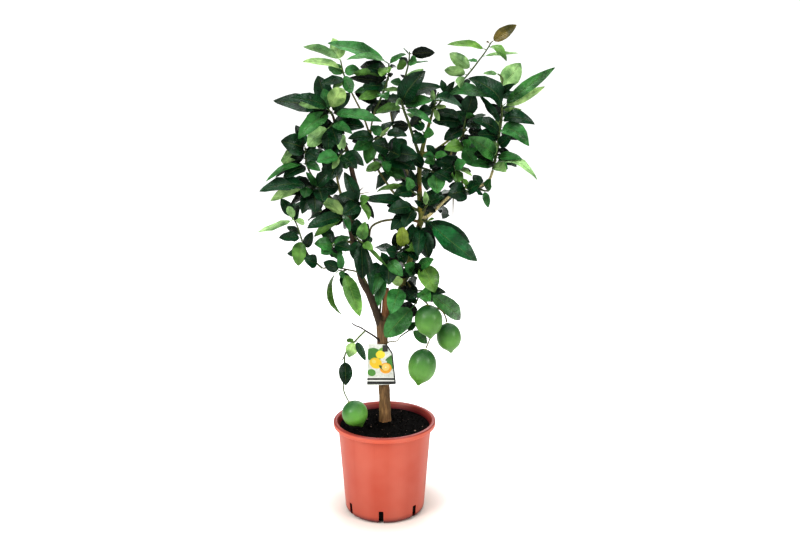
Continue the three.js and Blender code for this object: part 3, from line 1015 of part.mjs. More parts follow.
function makeLemons() {
  for (const [name, { stalk, nipple, diameter }] of Object.entries(LEMONS)) {
    const [top, bottom] = [place(stalk), place(nipple)];
    const run = bottom.clone().sub(top);
    const length = run.length();
    const profile = LEMON_OUTLINE.map(([along, out]) => (
      new THREE.Vector2((out * diameter) / 2, (1 - along) * length)));
    const geometry = new THREE.LatheGeometry(profile.reverse(), LEMON_SEGMENTS);
    const upwards = run.clone().negate().normalize();
    geometry.applyQuaternion(new THREE.Quaternion().setFromUnitVectors(new THREE.Vector3(0, 1, 0), upwards));
    geometry.translate(bottom.x, bottom.y, bottom.z);
    addPiece(name, geometryOf(solid(geometry)), { color: 0x6fae3c, roughness: 0.45, metalness: 0 });
    for (const share of [0.2, 0.35, 0.5, 0.65]) {
      obstacles.balls.push({ centre: top.clone().addScaledVector(run, share), radius: diameter * 0.47 + 2 });
    }
  }
}

// ---------- hanging label ----------
const TAG_BACK = -11;             // y of its back, just in front of the trunk
const TAG_THICKNESS = 1;
const TAG_CORNERS = [[-37, 283], [25, 286], [18, 356], [6, 374], [-34, 376]];
const TAG_ROUNDING = 3;
const LOOP_CENTRE = [-4, 3.5, 362];
const LOOP_RADIUS = 14;

function roundedShape(corners, rounding) {
  const shape = new THREE.Shape();
  const points = corners.map(([x, y]) => new THREE.Vector2(x, y));
  points.forEach((corner, i) => {
    const before = points[(i + points.length - 1) % points.length];
    const after = points[(i + 1) % points.length];
    const start = corner.clone().add(before.clone().sub(corner).setLength(rounding));
    const end = corner.clone().add(after.clone().sub(corner).setLength(rounding));
    if (i === 0) shape.moveTo(start.x, start.y);
    else shape.lineTo(start.x, start.y);
    shape.quadraticCurveTo(corner.x, corner.y, end.x, end.y);
  });
  shape.closePath();
  return shape;
}

function makeTag() {
  const card = new THREE.ExtrudeGeometry(roundedShape(TAG_CORNERS, TAG_ROUNDING), {
    depth: TAG_THICKNESS, bevelEnabled: false, curveSegments: 3,
  });
  card.rotateX(Math.PI / 2).translate(0, TAG_BACK, 0);
  const loop = new THREE.TorusGeometry(LOOP_RADIUS, 1.2, 4, 14).translate(...LOOP_CENTRE);
  const tab = new THREE.BoxGeometry(11, 2, 14).translate(2, TAG_BACK - TAG_THICKNESS - 0.7, 366);
  const tag = joined([card, loop, tab].map(solid));
  addPiece('label_tag', geometryOf(tag), { color: 0xe6d24a, roughness: 0.5, metalness: 0 });
  const corners = TAG_CORNERS.map(([x, z]) => new THREE.Vector3(x, TAG_BACK - TAG_THICKNESS / 2, z));
  const triangles = [1, 2, 3].map((i) => [corners[0], corners[i], corners[i + 1]]);
  const skin = { triangles, points: corners };
  const centre = new THREE.Vector3(-6, TAG_BACK, 330);
  obstacles.blades.push({ centre, reach: 60, owner: 'label_tag', whole: skin, outer: skin });
}

// ---------- the whole tree ----------
makePot();
const trunkAndLimbs = woodBody(0);
const woodRoom = woodBody(GAP);
addPiece('trunk_and_limbs', geometryOf(trunkAndLimbs), { color: 0x5a4632, roughness: 0.85, metalness: 0 });
makeSoil(woodRoom);
makeLemons();
makeTag();
for (const rows of WOOD) noteStem(rows, rows.map((row) => row[3]), 'trunk_and_limbs');
makeShoots(woodRoom);

export default tree;
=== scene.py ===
"""The finished look of a potted lemon tree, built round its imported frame.

Metres, +Z up, origin at the centre of the pot's underside, front towards -Y.
"""
import math
import random

import bpy
import numpy as np
from mathutils import Matrix, Vector, noise as space_noise


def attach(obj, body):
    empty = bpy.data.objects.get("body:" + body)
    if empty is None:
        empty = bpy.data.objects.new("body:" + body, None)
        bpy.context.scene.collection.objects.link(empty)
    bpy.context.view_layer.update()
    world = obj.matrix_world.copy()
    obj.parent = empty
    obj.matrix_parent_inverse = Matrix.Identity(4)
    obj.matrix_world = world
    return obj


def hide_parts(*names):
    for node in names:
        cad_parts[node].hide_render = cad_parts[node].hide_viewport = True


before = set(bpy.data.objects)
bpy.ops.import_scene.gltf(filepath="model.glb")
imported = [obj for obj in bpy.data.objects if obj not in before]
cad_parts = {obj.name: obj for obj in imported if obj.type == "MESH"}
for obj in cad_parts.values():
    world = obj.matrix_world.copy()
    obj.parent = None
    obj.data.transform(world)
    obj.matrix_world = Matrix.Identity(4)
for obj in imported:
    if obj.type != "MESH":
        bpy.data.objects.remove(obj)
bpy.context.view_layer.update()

# ---------- studio ----------
# A white floor and an even white surround, lit by big soft lamps on the left, the right, behind and above
# and by a broad, weak sun. Round the pot a warm shadow is painted into the floor, and its glow fades there.
# The camera stands at chest height in front of the tree and looks a little down on the pot.
EYE = (0.0333, -1.778, 0.919)
LOOKS_DOWN = 12.5
LENS = 39.35
SENSOR = 36
FLOOR_SIZE = 60
FLOOR_WHITE = (0.93, 0.92, 0.915)
# the colour of the shadow painted round the pot, and from and to what distance from its axis it fades out
FLOOR_PAINTED_SHADOW = (0.83, 0.765, 0.7)
PAINTED_SHADOW_FROM, PAINTED_SHADOW_TO = 0.08, 0.23
FLOOR_GLOW = 0.5
SURROUND_GLOW = 0.14
WHITE = (1, 1, 1, 1)


def choose(*pieces):
    """Selects these objects and nothing else, the last one active."""
    for piece in bpy.context.selected_objects:
        piece.select_set(False)
    for piece in pieces:
        piece.select_set(True)
    bpy.context.view_layer.objects.active = pieces[-1]


def srgb(red, green, blue):
    """A colour given as it looks on a screen, 0 to 255, as the linear values that shaders take."""
    shares = [value / 255 for value in (red, green, blue)]
    return tuple(s / 12.92 if s <= 0.04045 else ((s + 0.055) / 1.055) ** 2.4 for s in shares)


class Finish:
    """A material in the making: its shader, and the colour that is mixed so far.

    Each value is a plain one that holds all over, or another node's output.
    """

    def __init__(self, name, colour, roughness, **settings):
        self.material = bpy.data.materials.new(name)
        self.material.use_nodes = True
        self.shader = self.material.node_tree.nodes["Principled BSDF"]
        self.colour = colour
        self.set("Base Color", colour)
        self.set("Roughness", roughness)
        for key, value in settings.items():
            self.set(key.replace("_", " "), value)

    def put(self, socket, value):
        if isinstance(value, bpy.types.NodeSocket):
            self.material.node_tree.links.new(value, socket)
        elif socket.type == "RGBA":
            socket.default_value = (*value[:3], 1)
        else:
            socket.default_value = value

    def set(self, name, value):
        """Gives one of the shader's own sockets its value."""
        self.put(self.shader.inputs[name], value)

    def node(self, kind, sockets, **settings):
        made = self.material.node_tree.nodes.new(kind)
        for key, value in settings.items():
            setattr(made, key, value)
        for key, value in sockets.items():
            self.put(made.inputs[key], value)
        return made

    def places(self, stretch=(1, 1, 1)):
        """The piece's own coordinates in metres, stretched."""
        own = self.node("ShaderNodeTexCoord", {}).outputs["Object"]
        return self.node("ShaderNodeMapping", {"Vector": own, "Scale": stretch}).outputs["Vector"]

    def apart(self, vector):
        """The three numbers of a vector, each for itself."""
        return self.node("ShaderNodeSeparateXYZ", {"Vector": vector}).outputs

    def length(self, vector):
        return self.node("ShaderNodeVectorMath", {0: vector}, operation="LENGTH").outputs["Value"]

    def tone(self):
        """The colour that the piece's corners are painted with."""
        return self.node("ShaderNodeVertexColor", {}, layer_name="tone").outputs["Color"]

    def noise(self, scale, detail=4.0, roughness=0.55, stretch=(1, 1, 1)):
        return self.node("ShaderNodeTexNoise", {
            "Vector": self.places(stretch), "Scale": scale, "Detail": detail, "Roughness": roughness,
        }).outputs["Fac"]

    def cells(self, scale):
        """A pattern of small round cells, which gives each a colour and the distance from its middle."""
        return self.node("ShaderNodeTexVoronoi", {"Vector": self.places(), "Scale": scale}).outputs

    def band(self, value, low, high, to_low=0.0, to_high=1.0, **settings):
        """Spreads a value from low..high to another range and holds it there."""
        return self.node("ShaderNodeMapRange", {
            "Value": value, "From Min": low, "From Max": high, "To Min": to_low, "To Max": to_high,
        }, **settings).outputs["Result"]

    def maths(self, operation, *values):
        return self.node("ShaderNodeMath", dict(enumerate(values)), operation=operation).outputs[0]

    def plus(self, first, second):
        return self.maths("ADD", first, second)

    def minus(self, first, second):
        return self.maths("SUBTRACT", first, second)

    def times(self, first, second):
        return self.maths("MULTIPLY", first, second)

    def blend(self, share, first, second, mode="MIX"):
        mix = self.node("ShaderNodeMix", {}, data_type="RGBA", blend_type=mode)
        for index, value in ((0, share), (6, first), (7, second)):
            self.put(mix.inputs[index], value)
        return mix.outputs[2]

    def cover(self, share, ink):
        """Lays another colour over a share of the one so far."""
        self.colour = self.blend(share, self.colour, ink)

    def shade(self, share, darker, lighter):
        """Multiplies the colour so far by one between a darker and a lighter shade."""
        self.colour = self.blend(1.0, self.colour, self.blend(share, darker, lighter), "MULTIPLY")

    def done(self, height, distance):
        """Joins the mixed colour to the shader, and a relief that is this many metres high."""
        self.set("Base Color", self.colour)
        self.set("Normal", self.node("ShaderNodeBump", {
            "Height": height, "Distance": distance, "Strength": 1.0}).outputs["Normal"])


bpy.ops.object.camera_add(location=EYE, rotation=(math.radians(90 - LOOKS_DOWN), 0, 0))
camera = bpy.context.object
camera.data.sensor_width = SENSOR
camera.data.lens = LENS
bpy.context.scene.camera = camera

bpy.ops.mesh.primitive_plane_add(size=FLOOR_SIZE, location=(0, 0, 0))
floor = bpy.context.object
floor.name = "floor"
floor_white = Finish("floor_white", FLOOR_WHITE, 0.9, Emission_Color=WHITE)
from_pot = floor_white.length(floor_white.places())
# Near the pot the floor's colour turns to a painted warm shadow, and its glow fades.
clear = floor_white.band(from_pot, PAINTED_SHADOW_FROM, PAINTED_SHADOW_TO, interpolation_type="SMOOTHSTEP")
floor_white.set("Base Color", floor_white.blend(clear, FLOOR_PAINTED_SHADOW, FLOOR_WHITE))
seen = floor_white.node("ShaderNodeLightPath", {}).outputs["Is Camera Ray"]
floor_white.set("Emission Strength", floor_white.times(floor_white.times(seen, FLOOR_GLOW), clear))
floor.data.materials.append(floor_white.material)


def soft_lamp(name, place, aim, size, power):
    bpy.ops.object.light_add(type="AREA", location=place)
    lamp = bpy.context.object
    lamp.name = name
    lamp.rotation_euler = (Vector(aim) - Vector(place)).to_track_quat("-Z", "Y").to_euler()
    lamp.data.shape = "RECTANGLE"
    lamp.data.size, lamp.data.size_y = size
    lamp.data.energy = power


soft_lamp("lamp_left", (-1.9, -1.7, 2.1), (0, 0, 0.55), (1.1, 1.5), 44)
soft_lamp("lamp_right", (2.1, -1.5, 1.7), (0, 0, 0.5), (0.9, 1.5), 30)
soft_lamp("lamp_back", (0.5, 2.3, 1.9), (0, 0, 0.6), (1.6, 1.4), 22)
soft_lamp("lamp_top", (0.1, 0.3, 3.0), (0, 0, 0.5), (2.2, 1.6), 34)
bpy.ops.object.light_add(type="SUN", rotation=(math.radians(24), math.radians(-14), 0))
sun = bpy.context.object
sun.data.energy = 1.25
sun.data.angle = math.radians(70)

world = bpy.data.worlds.new("white_surround")
bpy.context.scene.world = world
world.use_nodes = True
surround = world.node_tree.nodes["Background"]
surround.inputs["Color"].default_value = WHITE
surround.inputs["Strength"].default_value = SURROUND_GLOW
backdrop = world.node_tree.nodes.new("ShaderNodeBackground")
backdrop.inputs["Color"].default_value = WHITE
seen = world.node_tree.nodes.new("ShaderNodeLightPath")
either = world.node_tree.nodes.new("ShaderNodeMixShader")
world.node_tree.links.new(seen.outputs["Is Camera Ray"], either.inputs[0])
world.node_tree.links.new(surround.outputs[0], either.inputs[1])
world.node_tree.links.new(backdrop.outputs[0], either.inputs[2])
world.node_tree.links.new(either.outputs[0], world.node_tree.nodes["World Output"].inputs["Surface"])
bpy.context.scene.view_settings.view_transform = "Standard"
bpy.context.scene.view_settings.look = "Medium High Contrast"

# ---------- pot ----------
# A round nursery pot of thin salmon-red plastic, turned, with a rounded foot and a rolled rim.
# Seven drain slots are cut up from the foot. The wall is a little streaked and scuffed from moulding, and
# eight pale stripes round it are a painted sheen. The rolled edge, its top and the foot are darkened with
# painted shade, and the inside is painted a deep red for the shade in the pot.
POT_HEIGHT = 0.203
RIM_RADIUS = 0.110
RIM_WIDTH = 0.0078
RIM_DROP = 0.011
RIM_ROUND = 0.0022
RIM_EDGE_ROUND = 0.0026
WALL_TOP_RADIUS = 0.1002
WALL_FOOT_RADIUS = 0.0865
FOOT_ROUND = 0.011
WALL = 0.0022
SLOT_COUNT = 7
SLOT_WIDTH = 0.010
SLOT_TOP = 0.030
SLOT_ROUND = 0.0016
SLOT_INNER_RADIUS = 0.070
FIRST_SLOT = -4.4                       # in degrees from the front
POT_STEPS = 144
# the pale stripes of painted sheen round the wall, and their turn
SHEEN_STRIPES = 8
SHEEN_STRIPES_TURN = -152                     # in degrees
POT_RED = srgb(221, 97, 64)
POT_PALE = srgb(227, 112, 83)
POT_DEEP = srgb(196, 74, 54)
POT_INSIDE_SHADE = srgb(98, 8, 26)
POT_SHEEN = srgb(226, 134, 114)
POT_RIM_SHADE = srgb(176, 84, 68)
POT_RIM_TOP_SHADE = srgb(140, 52, 50)
POT_FOOT_SHADE = srgb(104, 26, 32)
POT_SCUFF = srgb(96, 40, 34)
POT_DUST = srgb(170, 105, 88)


def arc(radius_at, height_at, radius, first, last, count):
    """Points of a turned outline along a circle, from one angle to another in degrees."""
    turns = [math.radians(first + (last - first) * i / count) for i in range(count + 1)]
    return [(radius_at + radius * math.cos(t), height_at + radius * math.sin(t)) for t in turns]


def new_piece(name, data):
    piece = bpy.data.objects.new(name, data)
    bpy.context.collection.objects.link(piece)
    choose(piece)
    return piece


def edited(piece, **steps):
    """Does these steps of mesh editing, each with its settings, on the whole piece."""
    choose(piece)
    bpy.ops.object.mode_set(mode="EDIT")
    for step, settings in steps.items():
        bpy.ops.mesh.select_all(action="SELECT")
        getattr(bpy.ops.mesh, step)(**settings)
    bpy.ops.object.mode_set(mode="OBJECT")


def changed(piece, kind, **settings):
    """Puts a modifier on the piece and applies it."""
    choose(piece)
    modifier = piece.modifiers.new(kind.lower(), kind)
    for key, value in settings.items():
        setattr(modifier, key, value)
    bpy.ops.object.modifier_apply(modifier=modifier.name)


def settled(piece):
    """Takes the piece's place, turn and size up into its mesh."""
    choose(piece)
    bpy.ops.object.transform_apply(location=True, rotation=True, scale=True)


def smoothed(piece, angle=35):
    """Settles a finished piece and smooths it over edges up to an angle in degrees."""
    settled(piece)
    bpy.ops.object.shade_smooth_by_angle(angle=math.radians(angle))


def turned(name, outline, steps):
    """A turned solid: the outline of (radius, height) is spun once round the upright axis."""
    mesh = bpy.data.meshes.new(name)
    edges = [(i, i + 1) for i in range(len(outline) - 1)]
    mesh.from_pydata([(radius, 0, height) for radius, height in outline], edges, [])
    piece = new_piece(name, mesh)
    edited(piece, spin={"steps": steps, "angle": 2 * math.pi, "center": (0, 0, 0), "axis": (0, 0, 1)},
           remove_doubles={"threshold": 1e-6}, normals_make_consistent={"inside": False})
    return piece


pot_outline = [(0, 0), (0.03, 0), (0.06, 0)]
pot_outline += arc(WALL_FOOT_RADIUS - FOOT_ROUND, FOOT_ROUND, FOOT_ROUND, -90, -4, 8)
pot_outline += [
    (WALL_FOOT_RADIUS + (WALL_TOP_RADIUS - WALL_FOOT_RADIUS) * share, 0.012 + 0.1775 * share)
    for share in (0.02, 0.1, 0.25, 0.5, 0.75, 0.97)
]
pot_outline += [(WALL_TOP_RADIUS + 0.0004, 0.1908), (WALL_TOP_RADIUS + 0.0016, 0.1919)]
pot_outline += arc(RIM_RADIUS - RIM_ROUND, POT_HEIGHT - RIM_DROP + RIM_ROUND, RIM_ROUND, -90, 0, 5)
pot_outline += arc(RIM_RADIUS - RIM_EDGE_ROUND, POT_HEIGHT - RIM_EDGE_ROUND, RIM_EDGE_ROUND, 0, 90, 6)
pot_outline += arc(RIM_RADIUS - RIM_WIDTH + 0.0012, POT_HEIGHT - RIM_ROUND, RIM_ROUND, 95, 165, 5)
pot_outline += [
    (WALL_TOP_RADIUS - WALL, POT_HEIGHT - 0.007), (0.0932, 0.13), (0.0885, 0.068),
    (WALL_FOOT_RADIUS - WALL, FOOT_ROUND + 0.001),
]
pot_outline += arc(WALL_FOOT_RADIUS - FOOT_ROUND, FOOT_ROUND, FOOT_ROUND - WALL, -10, -90, 6)
pot_outline += [(0.05, WALL), (0, WALL)]
pot = turned("nursery_pot", pot_outline, POT_STEPS)

for i in range(SLOT_COUNT):
    turn = math.radians(FIRST_SLOT + 360 * i / SLOT_COUNT)
    length = WALL_TOP_RADIUS - SLOT_INNER_RADIUS
    out = SLOT_INNER_RADIUS + length / 2
    bpy.ops.mesh.primitive_cube_add(
        size=1, location=(out * math.sin(turn), -out * math.cos(turn), SLOT_TOP / 2 - 0.001),
        rotation=(0, 0, turn), scale=(SLOT_WIDTH, length, SLOT_TOP + 0.002))
    slot = bpy.context.object
    edited(slot, bevel={"offset": SLOT_ROUND, "segments": 3, "affect": "EDGES"})
    changed(pot, "BOOLEAN", object=slot, operation="DIFFERENCE", solver="EXACT")
    bpy.data.objects.remove(slot)

plastic = Finish("pot_plastic", POT_RED, 0.42, Subsurface_Weight=0.12, Subsurface_Scale=0.004,
                 Subsurface_Radius=(1.0, 0.35, 0.2))
streaks = plastic.noise(55, 3, stretch=(1, 1, 0.12))
clouds = plastic.noise(14, 2)
plastic.cover(plastic.band(clouds, 0.35, 0.7), POT_PALE)
plastic.cover(plastic.band(streaks, 0.58, 0.8, 0, 0.3), POT_DEEP)
across, deep, high = plastic.apart(plastic.places())
wall_lean = (WALL_TOP_RADIUS - WALL_FOOT_RADIUS) / 0.18
wall_here = plastic.plus(WALL_FOOT_RADIUS - WALL * 0.5, plastic.times(high, wall_lean))
in_wall = plastic.minus(wall_here, plastic.length(plastic.places((1, 1, 0))))
inside = plastic.band(in_wall, -0.0008, 0.0006)
# The inner wall is painted a deep red: painted shade inside the pot.
plastic.cover(plastic.times(inside, 0.95), POT_INSIDE_SHADE)
# Eight pale stripes round the outside of the wall are a painted sheen.
around = plastic.maths("ARCTAN2", across, plastic.times(deep, -1))
painted_sheen = plastic.plus(plastic.times(around, SHEEN_STRIPES), math.radians(SHEEN_STRIPES_TURN))
painted_sheen = plastic.band(plastic.maths("COSINE", painted_sheen), -0.4, 1, 0, 0.24)
plastic.cover(plastic.times(painted_sheen, plastic.minus(1, inside)), POT_SHEEN)
# The rolled rim is darkened with painted shade, and its top edge more so.
plastic.cover(plastic.band(high, POT_HEIGHT - RIM_DROP, POT_HEIGHT - RIM_DROP + 0.003, 0, 0.35), POT_RIM_SHADE)
plastic.cover(plastic.band(high, POT_HEIGHT - 0.003, POT_HEIGHT - 0.0008, 0, 0.85), POT_RIM_TOP_SHADE)
# A dark band of painted shade runs along the curve of the foot.
plastic.cover(plastic.band(high, 0.016, 0.005, 0, 0.9), POT_FOOT_SHADE)
plastic.cover(plastic.band(plastic.noise(210, 2, 0.7), 0.74, 0.8, 0, 0.25), POT_SCUFF)
dusty = plastic.band(plastic.noise(32), 0.4, 0.75, 0, 0.35)
plastic.cover(plastic.times(plastic.band(high, 0.05, 0.0), dusty), POT_DUST)
plastic.set("Roughness", plastic.band(clouds, 0.3, 0.75, 0.36, 0.5))
plastic.done(plastic.plus(plastic.noise(700, 2), streaks), 0.00012)
pot.data.materials.append(plastic.material)
smoothed(pot)
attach(pot, "root")
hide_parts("pot")

# ---------- compost ----------
# Damp, almost black peat compost fills the pot to just under the rim, heaped a little at the trunk.
# Its top is loose crumbs, with a few chips of pale bark and grit among them.
SOIL_EDGE = 0.190
SOIL_MOUND = 0.007
MOUND_REACH = 0.034
MOUND_DEPTH = 0.008
TRUNK_PLACE = (0.001, 0.008)
TRUNK_CLEAR = 0.0165
GAP = 0.00035
WALL_GAP = 0.0005
CRUMBS = 1500
CRUMB_SPREAD = 0.093
CRUMB_REACH = 0.0935
CHIP_SHARE = 0.022


def wall_inside(height):
    """The radius of the pot's inner face at a height."""
    rise = (height - FOOT_ROUND - 0.001) / (POT_HEIGHT - 0.008 - FOOT_ROUND)
    return WALL_FOOT_RADIUS + (WALL_TOP_RADIUS - WALL_FOOT_RADIUS) * rise - WALL


def soil_height(x, y):
    """The lie of the compost's top at a place, before its crumbs."""
    away = math.hypot(x, y - MOUND_DEPTH)
    heap = SOIL_MOUND * math.exp(-((away / MOUND_REACH) ** 2))
    ripple = 0.0011 * math.sin(x * 92 + 1) * math.cos(y * 110 + x * 40) + 0.0007 * math.sin(x * 260 + y * 190)
    return SOIL_EDGE + heap + ripple * min(1, max(0, (0.094 - away) / 0.02))


soil_outline = [(radius, WALL + GAP) for radius in (0, 0.04, WALL_FOOT_RADIUS - FOOT_ROUND - 0.001)]
soil_outline += [(wall_inside(0.017) - 0.003, 0.013), (wall_inside(0.017) - WALL_GAP, 0.017)]
soil_outline += [(wall_inside(h) - WALL_GAP, h) for h in (0.05, 0.09, 0.13, 0.17, 0.186)]
soil_outline += [(wall_inside(SOIL_EDGE) - 0.0015, 0.1892)]
soil_outline += [(0.0945 - 0.0035 * i, SOIL_EDGE) for i in range(27)] + [(0, SOIL_EDGE)]
compost = turned("compost", soil_outline, 120)
for vertex in compost.data.vertices:
    x, y, z = vertex.co
    if z > 0.1885:
        vertex.co.z = soil_height(x, y)

peat = Finish("compost_black", srgb(24, 18, 14), 0.95, Specular_IOR_Level=0.12)
clods = peat.noise(190, 6, 0.7)
dirt = peat.cells(330)
peat.colour = peat.blend(peat.band(clods, 0.35, 0.75), srgb(4, 4, 4), srgb(20, 16, 14))
peat.cover(peat.band(dirt["Color"], 0.9, 0.96, 0, 0.5), srgb(84, 64, 50))
peat.done(peat.plus(clods, dirt["Distance"]), 0.0016)
chip = Finish("bark_chip", srgb(128, 104, 86), 0.9)
chip.set("Base Color", chip.blend(chip.noise(300), srgb(96, 62, 44), srgb(176, 156, 142)))

bpy.ops.mesh.primitive_ico_sphere_add(subdivisions=2, radius=1, location=(0, 0, 0))
crumb = bpy.context.object
for vertex in crumb.data.vertices:
    knobbly = 1 + 0.35 * math.sin(5 * vertex.co.x + 3 * vertex.co.y) * math.cos(4 * vertex.co.z + 1)
    vertex.co *= knobbly
for piece in (compost, crumb):
    piece.data.materials.append(peat.material)
    piece.data.materials.append(chip.material)
draw = random.Random(11)
crumbs = []
while len(crumbs) < CRUMBS:
    x, y = draw.uniform(-CRUMB_SPREAD, CRUMB_SPREAD), draw.uniform(-CRUMB_SPREAD, CRUMB_SPREAD)
    size = 0.0006 + 0.0019 * draw.random() ** 3
    from_trunk = math.hypot(x - TRUNK_PLACE[0], y - TRUNK_PLACE[1])
    if math.hypot(x, y) > CRUMB_REACH - size or from_trunk < TRUNK_CLEAR:
        continue
    bit = crumb.copy()
    bit.data = crumb.data.copy()
    pale = draw.random() < CHIP_SHARE
    turn = Matrix.Rotation(draw.uniform(0, 6.28), 4, Vector((draw.gauss(0, 1), draw.gauss(0, 1), 1)))
    flat = Matrix.Diagonal((1, draw.uniform(0.5, 0.9), draw.uniform(0.35, 0.8), 1))
    place = Matrix.Translation((x, y, soil_height(x, y) + size * 0.25))
    bit.data.transform(place @ turn @ flat @ Matrix.Scale(size, 4))
    for face in bit.data.polygons:
        face.material_index = 1 if pale else 0
    bpy.context.collection.objects.link(bit)
    crumbs.append(bit)
bpy.data.objects.remove(crumb)
choose(*crumbs, compost)
bpy.ops.object.join()
smoothed(compost, 60)
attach(compost, "root")
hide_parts("soil")

# ---------- trunk, limbs and branches ----------
# One body of living wood: a stout brown trunk parts at 40 cm into a dark left limb, a green right limb
# and the cracked stub of a pruned third. Thin branches, fruit stalks and a few spines grow from them.
# Each stem is its bark and its places on the lines of sight: x, z, depth and radius, in millimetres.
SIGHT = (33, -1778, 919)
BARK_BROWN = (118, 94, 66)
BARK_DARK = (74, 60, 46)
BARK_STUB = (150, 104, 70)
BARK_GREEN = (122, 126, 66)
BARK_CREAM = (196, 186, 140)
BARK_OLIVE = (104, 102, 62)
BARK_BLACK = (44, 36, 30)
STEMS = {
    "trunk": (BARK_BROWN, [
        (1, 172, 8, 14.6), (1, 197, 8, 14.2), (1, 222, 8, 12.8), (0, 260, 7, 12.2), (-2, 300, 5, 12),
        (-4, 350, 3, 11.4), (-4, 385, 2, 11.8), (-4, 408, 2, 13), (-4, 425, 2, 12),
    ]),
    "left_limb": (BARK_DARK, [
        (-4, 400, 2, 9.5), (-10, 422, 0, 9), (-19, 448, -4, 8.2), (-32, 484, -9, 7.8), (-45, 508, -13, 7.4),
        (-54, 545, -16, 6.8), (-62, 590, -18, 6.6), (-67, 622, -19, 6.8), (-64, 650, -19, 6.2),
        (-57, 676, -18, 6), (-55, 694, -18, 7.6), (-59, 715, -18, 5.6), (-65, 742, -18, 5),
        (-72, 775, -17, 4.2), (-86, 808, -16, 3.6), (-97, 834, -14, 3.2), (-101, 848, -14, 2.6),
    ]),
    "pruned_stub": (BARK_STUB, [
        (-2, 410, 3, 8), (1, 435, 4, 7.8), (3, 460, 4, 7.4), (4, 480, 4, 6.2), (6, 494, 4, 5.4),
    ]),
    "right_limb": (BARK_GREEN, [
        (0, 405, 4, 7.5), (12, 436, 10, 7.2), (26, 470, 14, 7), (40, 505, 16, 6.8), (54, 555, 14, 6.4),
        (68, 610, 9, 6), (77, 640, 4, 6.6), (75, 664, 2, 5.8), (73, 700, 0, 5.4), (73, 742, 0, 5.2),
        (78, 780, 2, 4.6), (87, 815, 4, 3.6), (96, 848, 3, 3),
    ]),
    "cream_branch": (BARK_CREAM, [
        (78, 640, 2, 4), (90, 645, -4, 3.8), (108, 661, -10, 3.3), (132, 684, -16, 3.2),
        (158, 702, -14, 3.1), (190, 706, -10, 3.1), (213, 718, -8, 3.2), (222, 740, -7, 3),
    ]),
    "heart_branch": (BARK_OLIVE, [
        (146, 694, -15, 2.8), (160, 714, -14, 2.6), (153, 738, -13, 2.5), (160, 756, -12, 2.4),
        (171, 773, -12, 2.3), (167, 794, -12, 2.2), (160, 812, -12, 2.1),
    ]),
    "fan_branch": (BARK_GREEN, [
        (78, 772, 1, 3.6), (100, 779, -3, 2.8), (128, 797, -6, 2.6), (152, 816, -8, 2.4),
    ]),
    "middle_branch": (BARK_OLIVE, [
        (74, 655, 2, 3.6), (48, 670, -4, 3), (22, 692, -8, 2.8), (2, 720, -11, 2.6), (-12, 742, -12, 2.6),
        (-20, 766, -12, 2.5), (-25, 795, -12, 2.4), (-32, 824, -12, 2.3), (-44, 856, -10, 2.2),
        (-60, 888, -8, 2), (-71, 911, -6, 1.8),
    ]),
    "top_branch": (BARK_OLIVE, [(-26, 800, -12, 2.3), (-24, 830, -10, 2.2), (-17, 858, -10, 2)]),
    "hook_branch": (BARK_OLIVE, [
        (72, 634, 6, 3.4), (46, 639, 0, 2.9), (15, 638, -6, 2.7), (-12, 632, -9, 2.6), (-26, 622, -11, 2.5),
        (-30, 604, -12, 2.4), (-34, 580, -12, 2.2), (-36, 562, -12, 2),
    ]),
    "left_spray": (BARK_OLIVE, [
        (-30, 482, -8, 3), (-38, 508, -16, 2.4), (-52, 526, -24, 2.2), (-76, 533, -30, 2),
        (-98, 537, -34, 1.9), (-128, 536, -36, 1.8),
    ]),
    "left_arm": (BARK_OLIVE, [
        (-66, 640, -18, 4), (-90, 662, -16, 3.2), (-115, 690, -14, 2.8), (-138, 716, -12, 2.4),
        (-151, 738, -12, 2.2),
    ]),
    "left_inner": (BARK_OLIVE, [(-62, 590, -18, 3.6), (-80, 592, -24, 2.8), (-98, 588, -30, 2.4)]),
    "low_twig": (BARK_BLACK, [
        (-6, 372, 0, 4), (-14, 383, -10, 2.5), (-38, 400, -26, 2.1), (-50, 408, -32, 1.9),
        (-62, 413, -38, 1.8), (-69, 419, -42, 1.5),
    ]),
    "right_twig": (BARK_OLIVE, [
        (2, 373, 0, 3), (13, 377, -12, 1.7), (26, 378, -24, 1.6), (33, 387, -34, 1.5),
    ]),
    "fruit_twig": (BARK_OLIVE, [
        (36, 497, 14, 3.4), (45, 507, 4, 2.6), (60, 489, -8, 2.3), (76, 472, -20, 2.1), (86, 467, -32, 2),
        (89.7, 460.6, -41.4, 2.3),
    ]),
    "low_stalk": (BARK_OLIVE, [
        (80, 470, -24, 2), (94, 454, -10, 2), (101, 424, -6, 1.9), (99, 394, -18, 1.8), (92, 371, -40, 1.8),
        (88.4, 362.6, -45.6, 2.2),
    ]),
    "right_stalk": (BARK_OLIVE, [
        (94, 454, -10, 2), (118, 447, -10, 1.8), (129, 432, -12, 1.9), (131.6, 419.2, -13.8, 2.3),
    ]),
    "back_left": (BARK_OLIVE, [
        (-56, 560, -15, 4.5), (-58, 590, 30, 4), (-70, 640, 72, 3.6), (-90, 700, 104, 3.2),
        (-100, 760, 120, 2.6),
    ]),
    "back_right": (BARK_OLIVE, [
        (62, 588, 12, 4.6), (66, 610, 50, 4.2), (84, 660, 92, 3.8), (112, 720, 122, 3.2),
        (140, 780, 134, 2.6),
    ]),
    "back_middle": (BARK_OLIVE, [
        (74, 690, 0, 4), (56, 720, 40, 3.4), (36, 765, 78, 3), (22, 815, 100, 2.6), (14, 856, 108, 2),
    ]),
}
STOUT = 7                               # a stem thicker than this at its foot is made of more sides
SPINES = [
    [(-50, 697, -22), (-40, 706, -40)], [(-56, 690, -24), (-24, 696, -44)],
    [(-60, 695, -22), (-78, 697, -40)], [(142, 688, -16), (142, 640, -24)],
    [(152, 814, -8), (172, 826, -22)],
]
SPINE_RADII = (1.5, 0.15)
SPINE_OLIVE = srgb(120, 110, 62)
VOXEL = 0.00125
BARK_RELIEF = 0.0011
FISSURE_RELIEF = 0.0011
MARK_SOFTNESS = 1.4
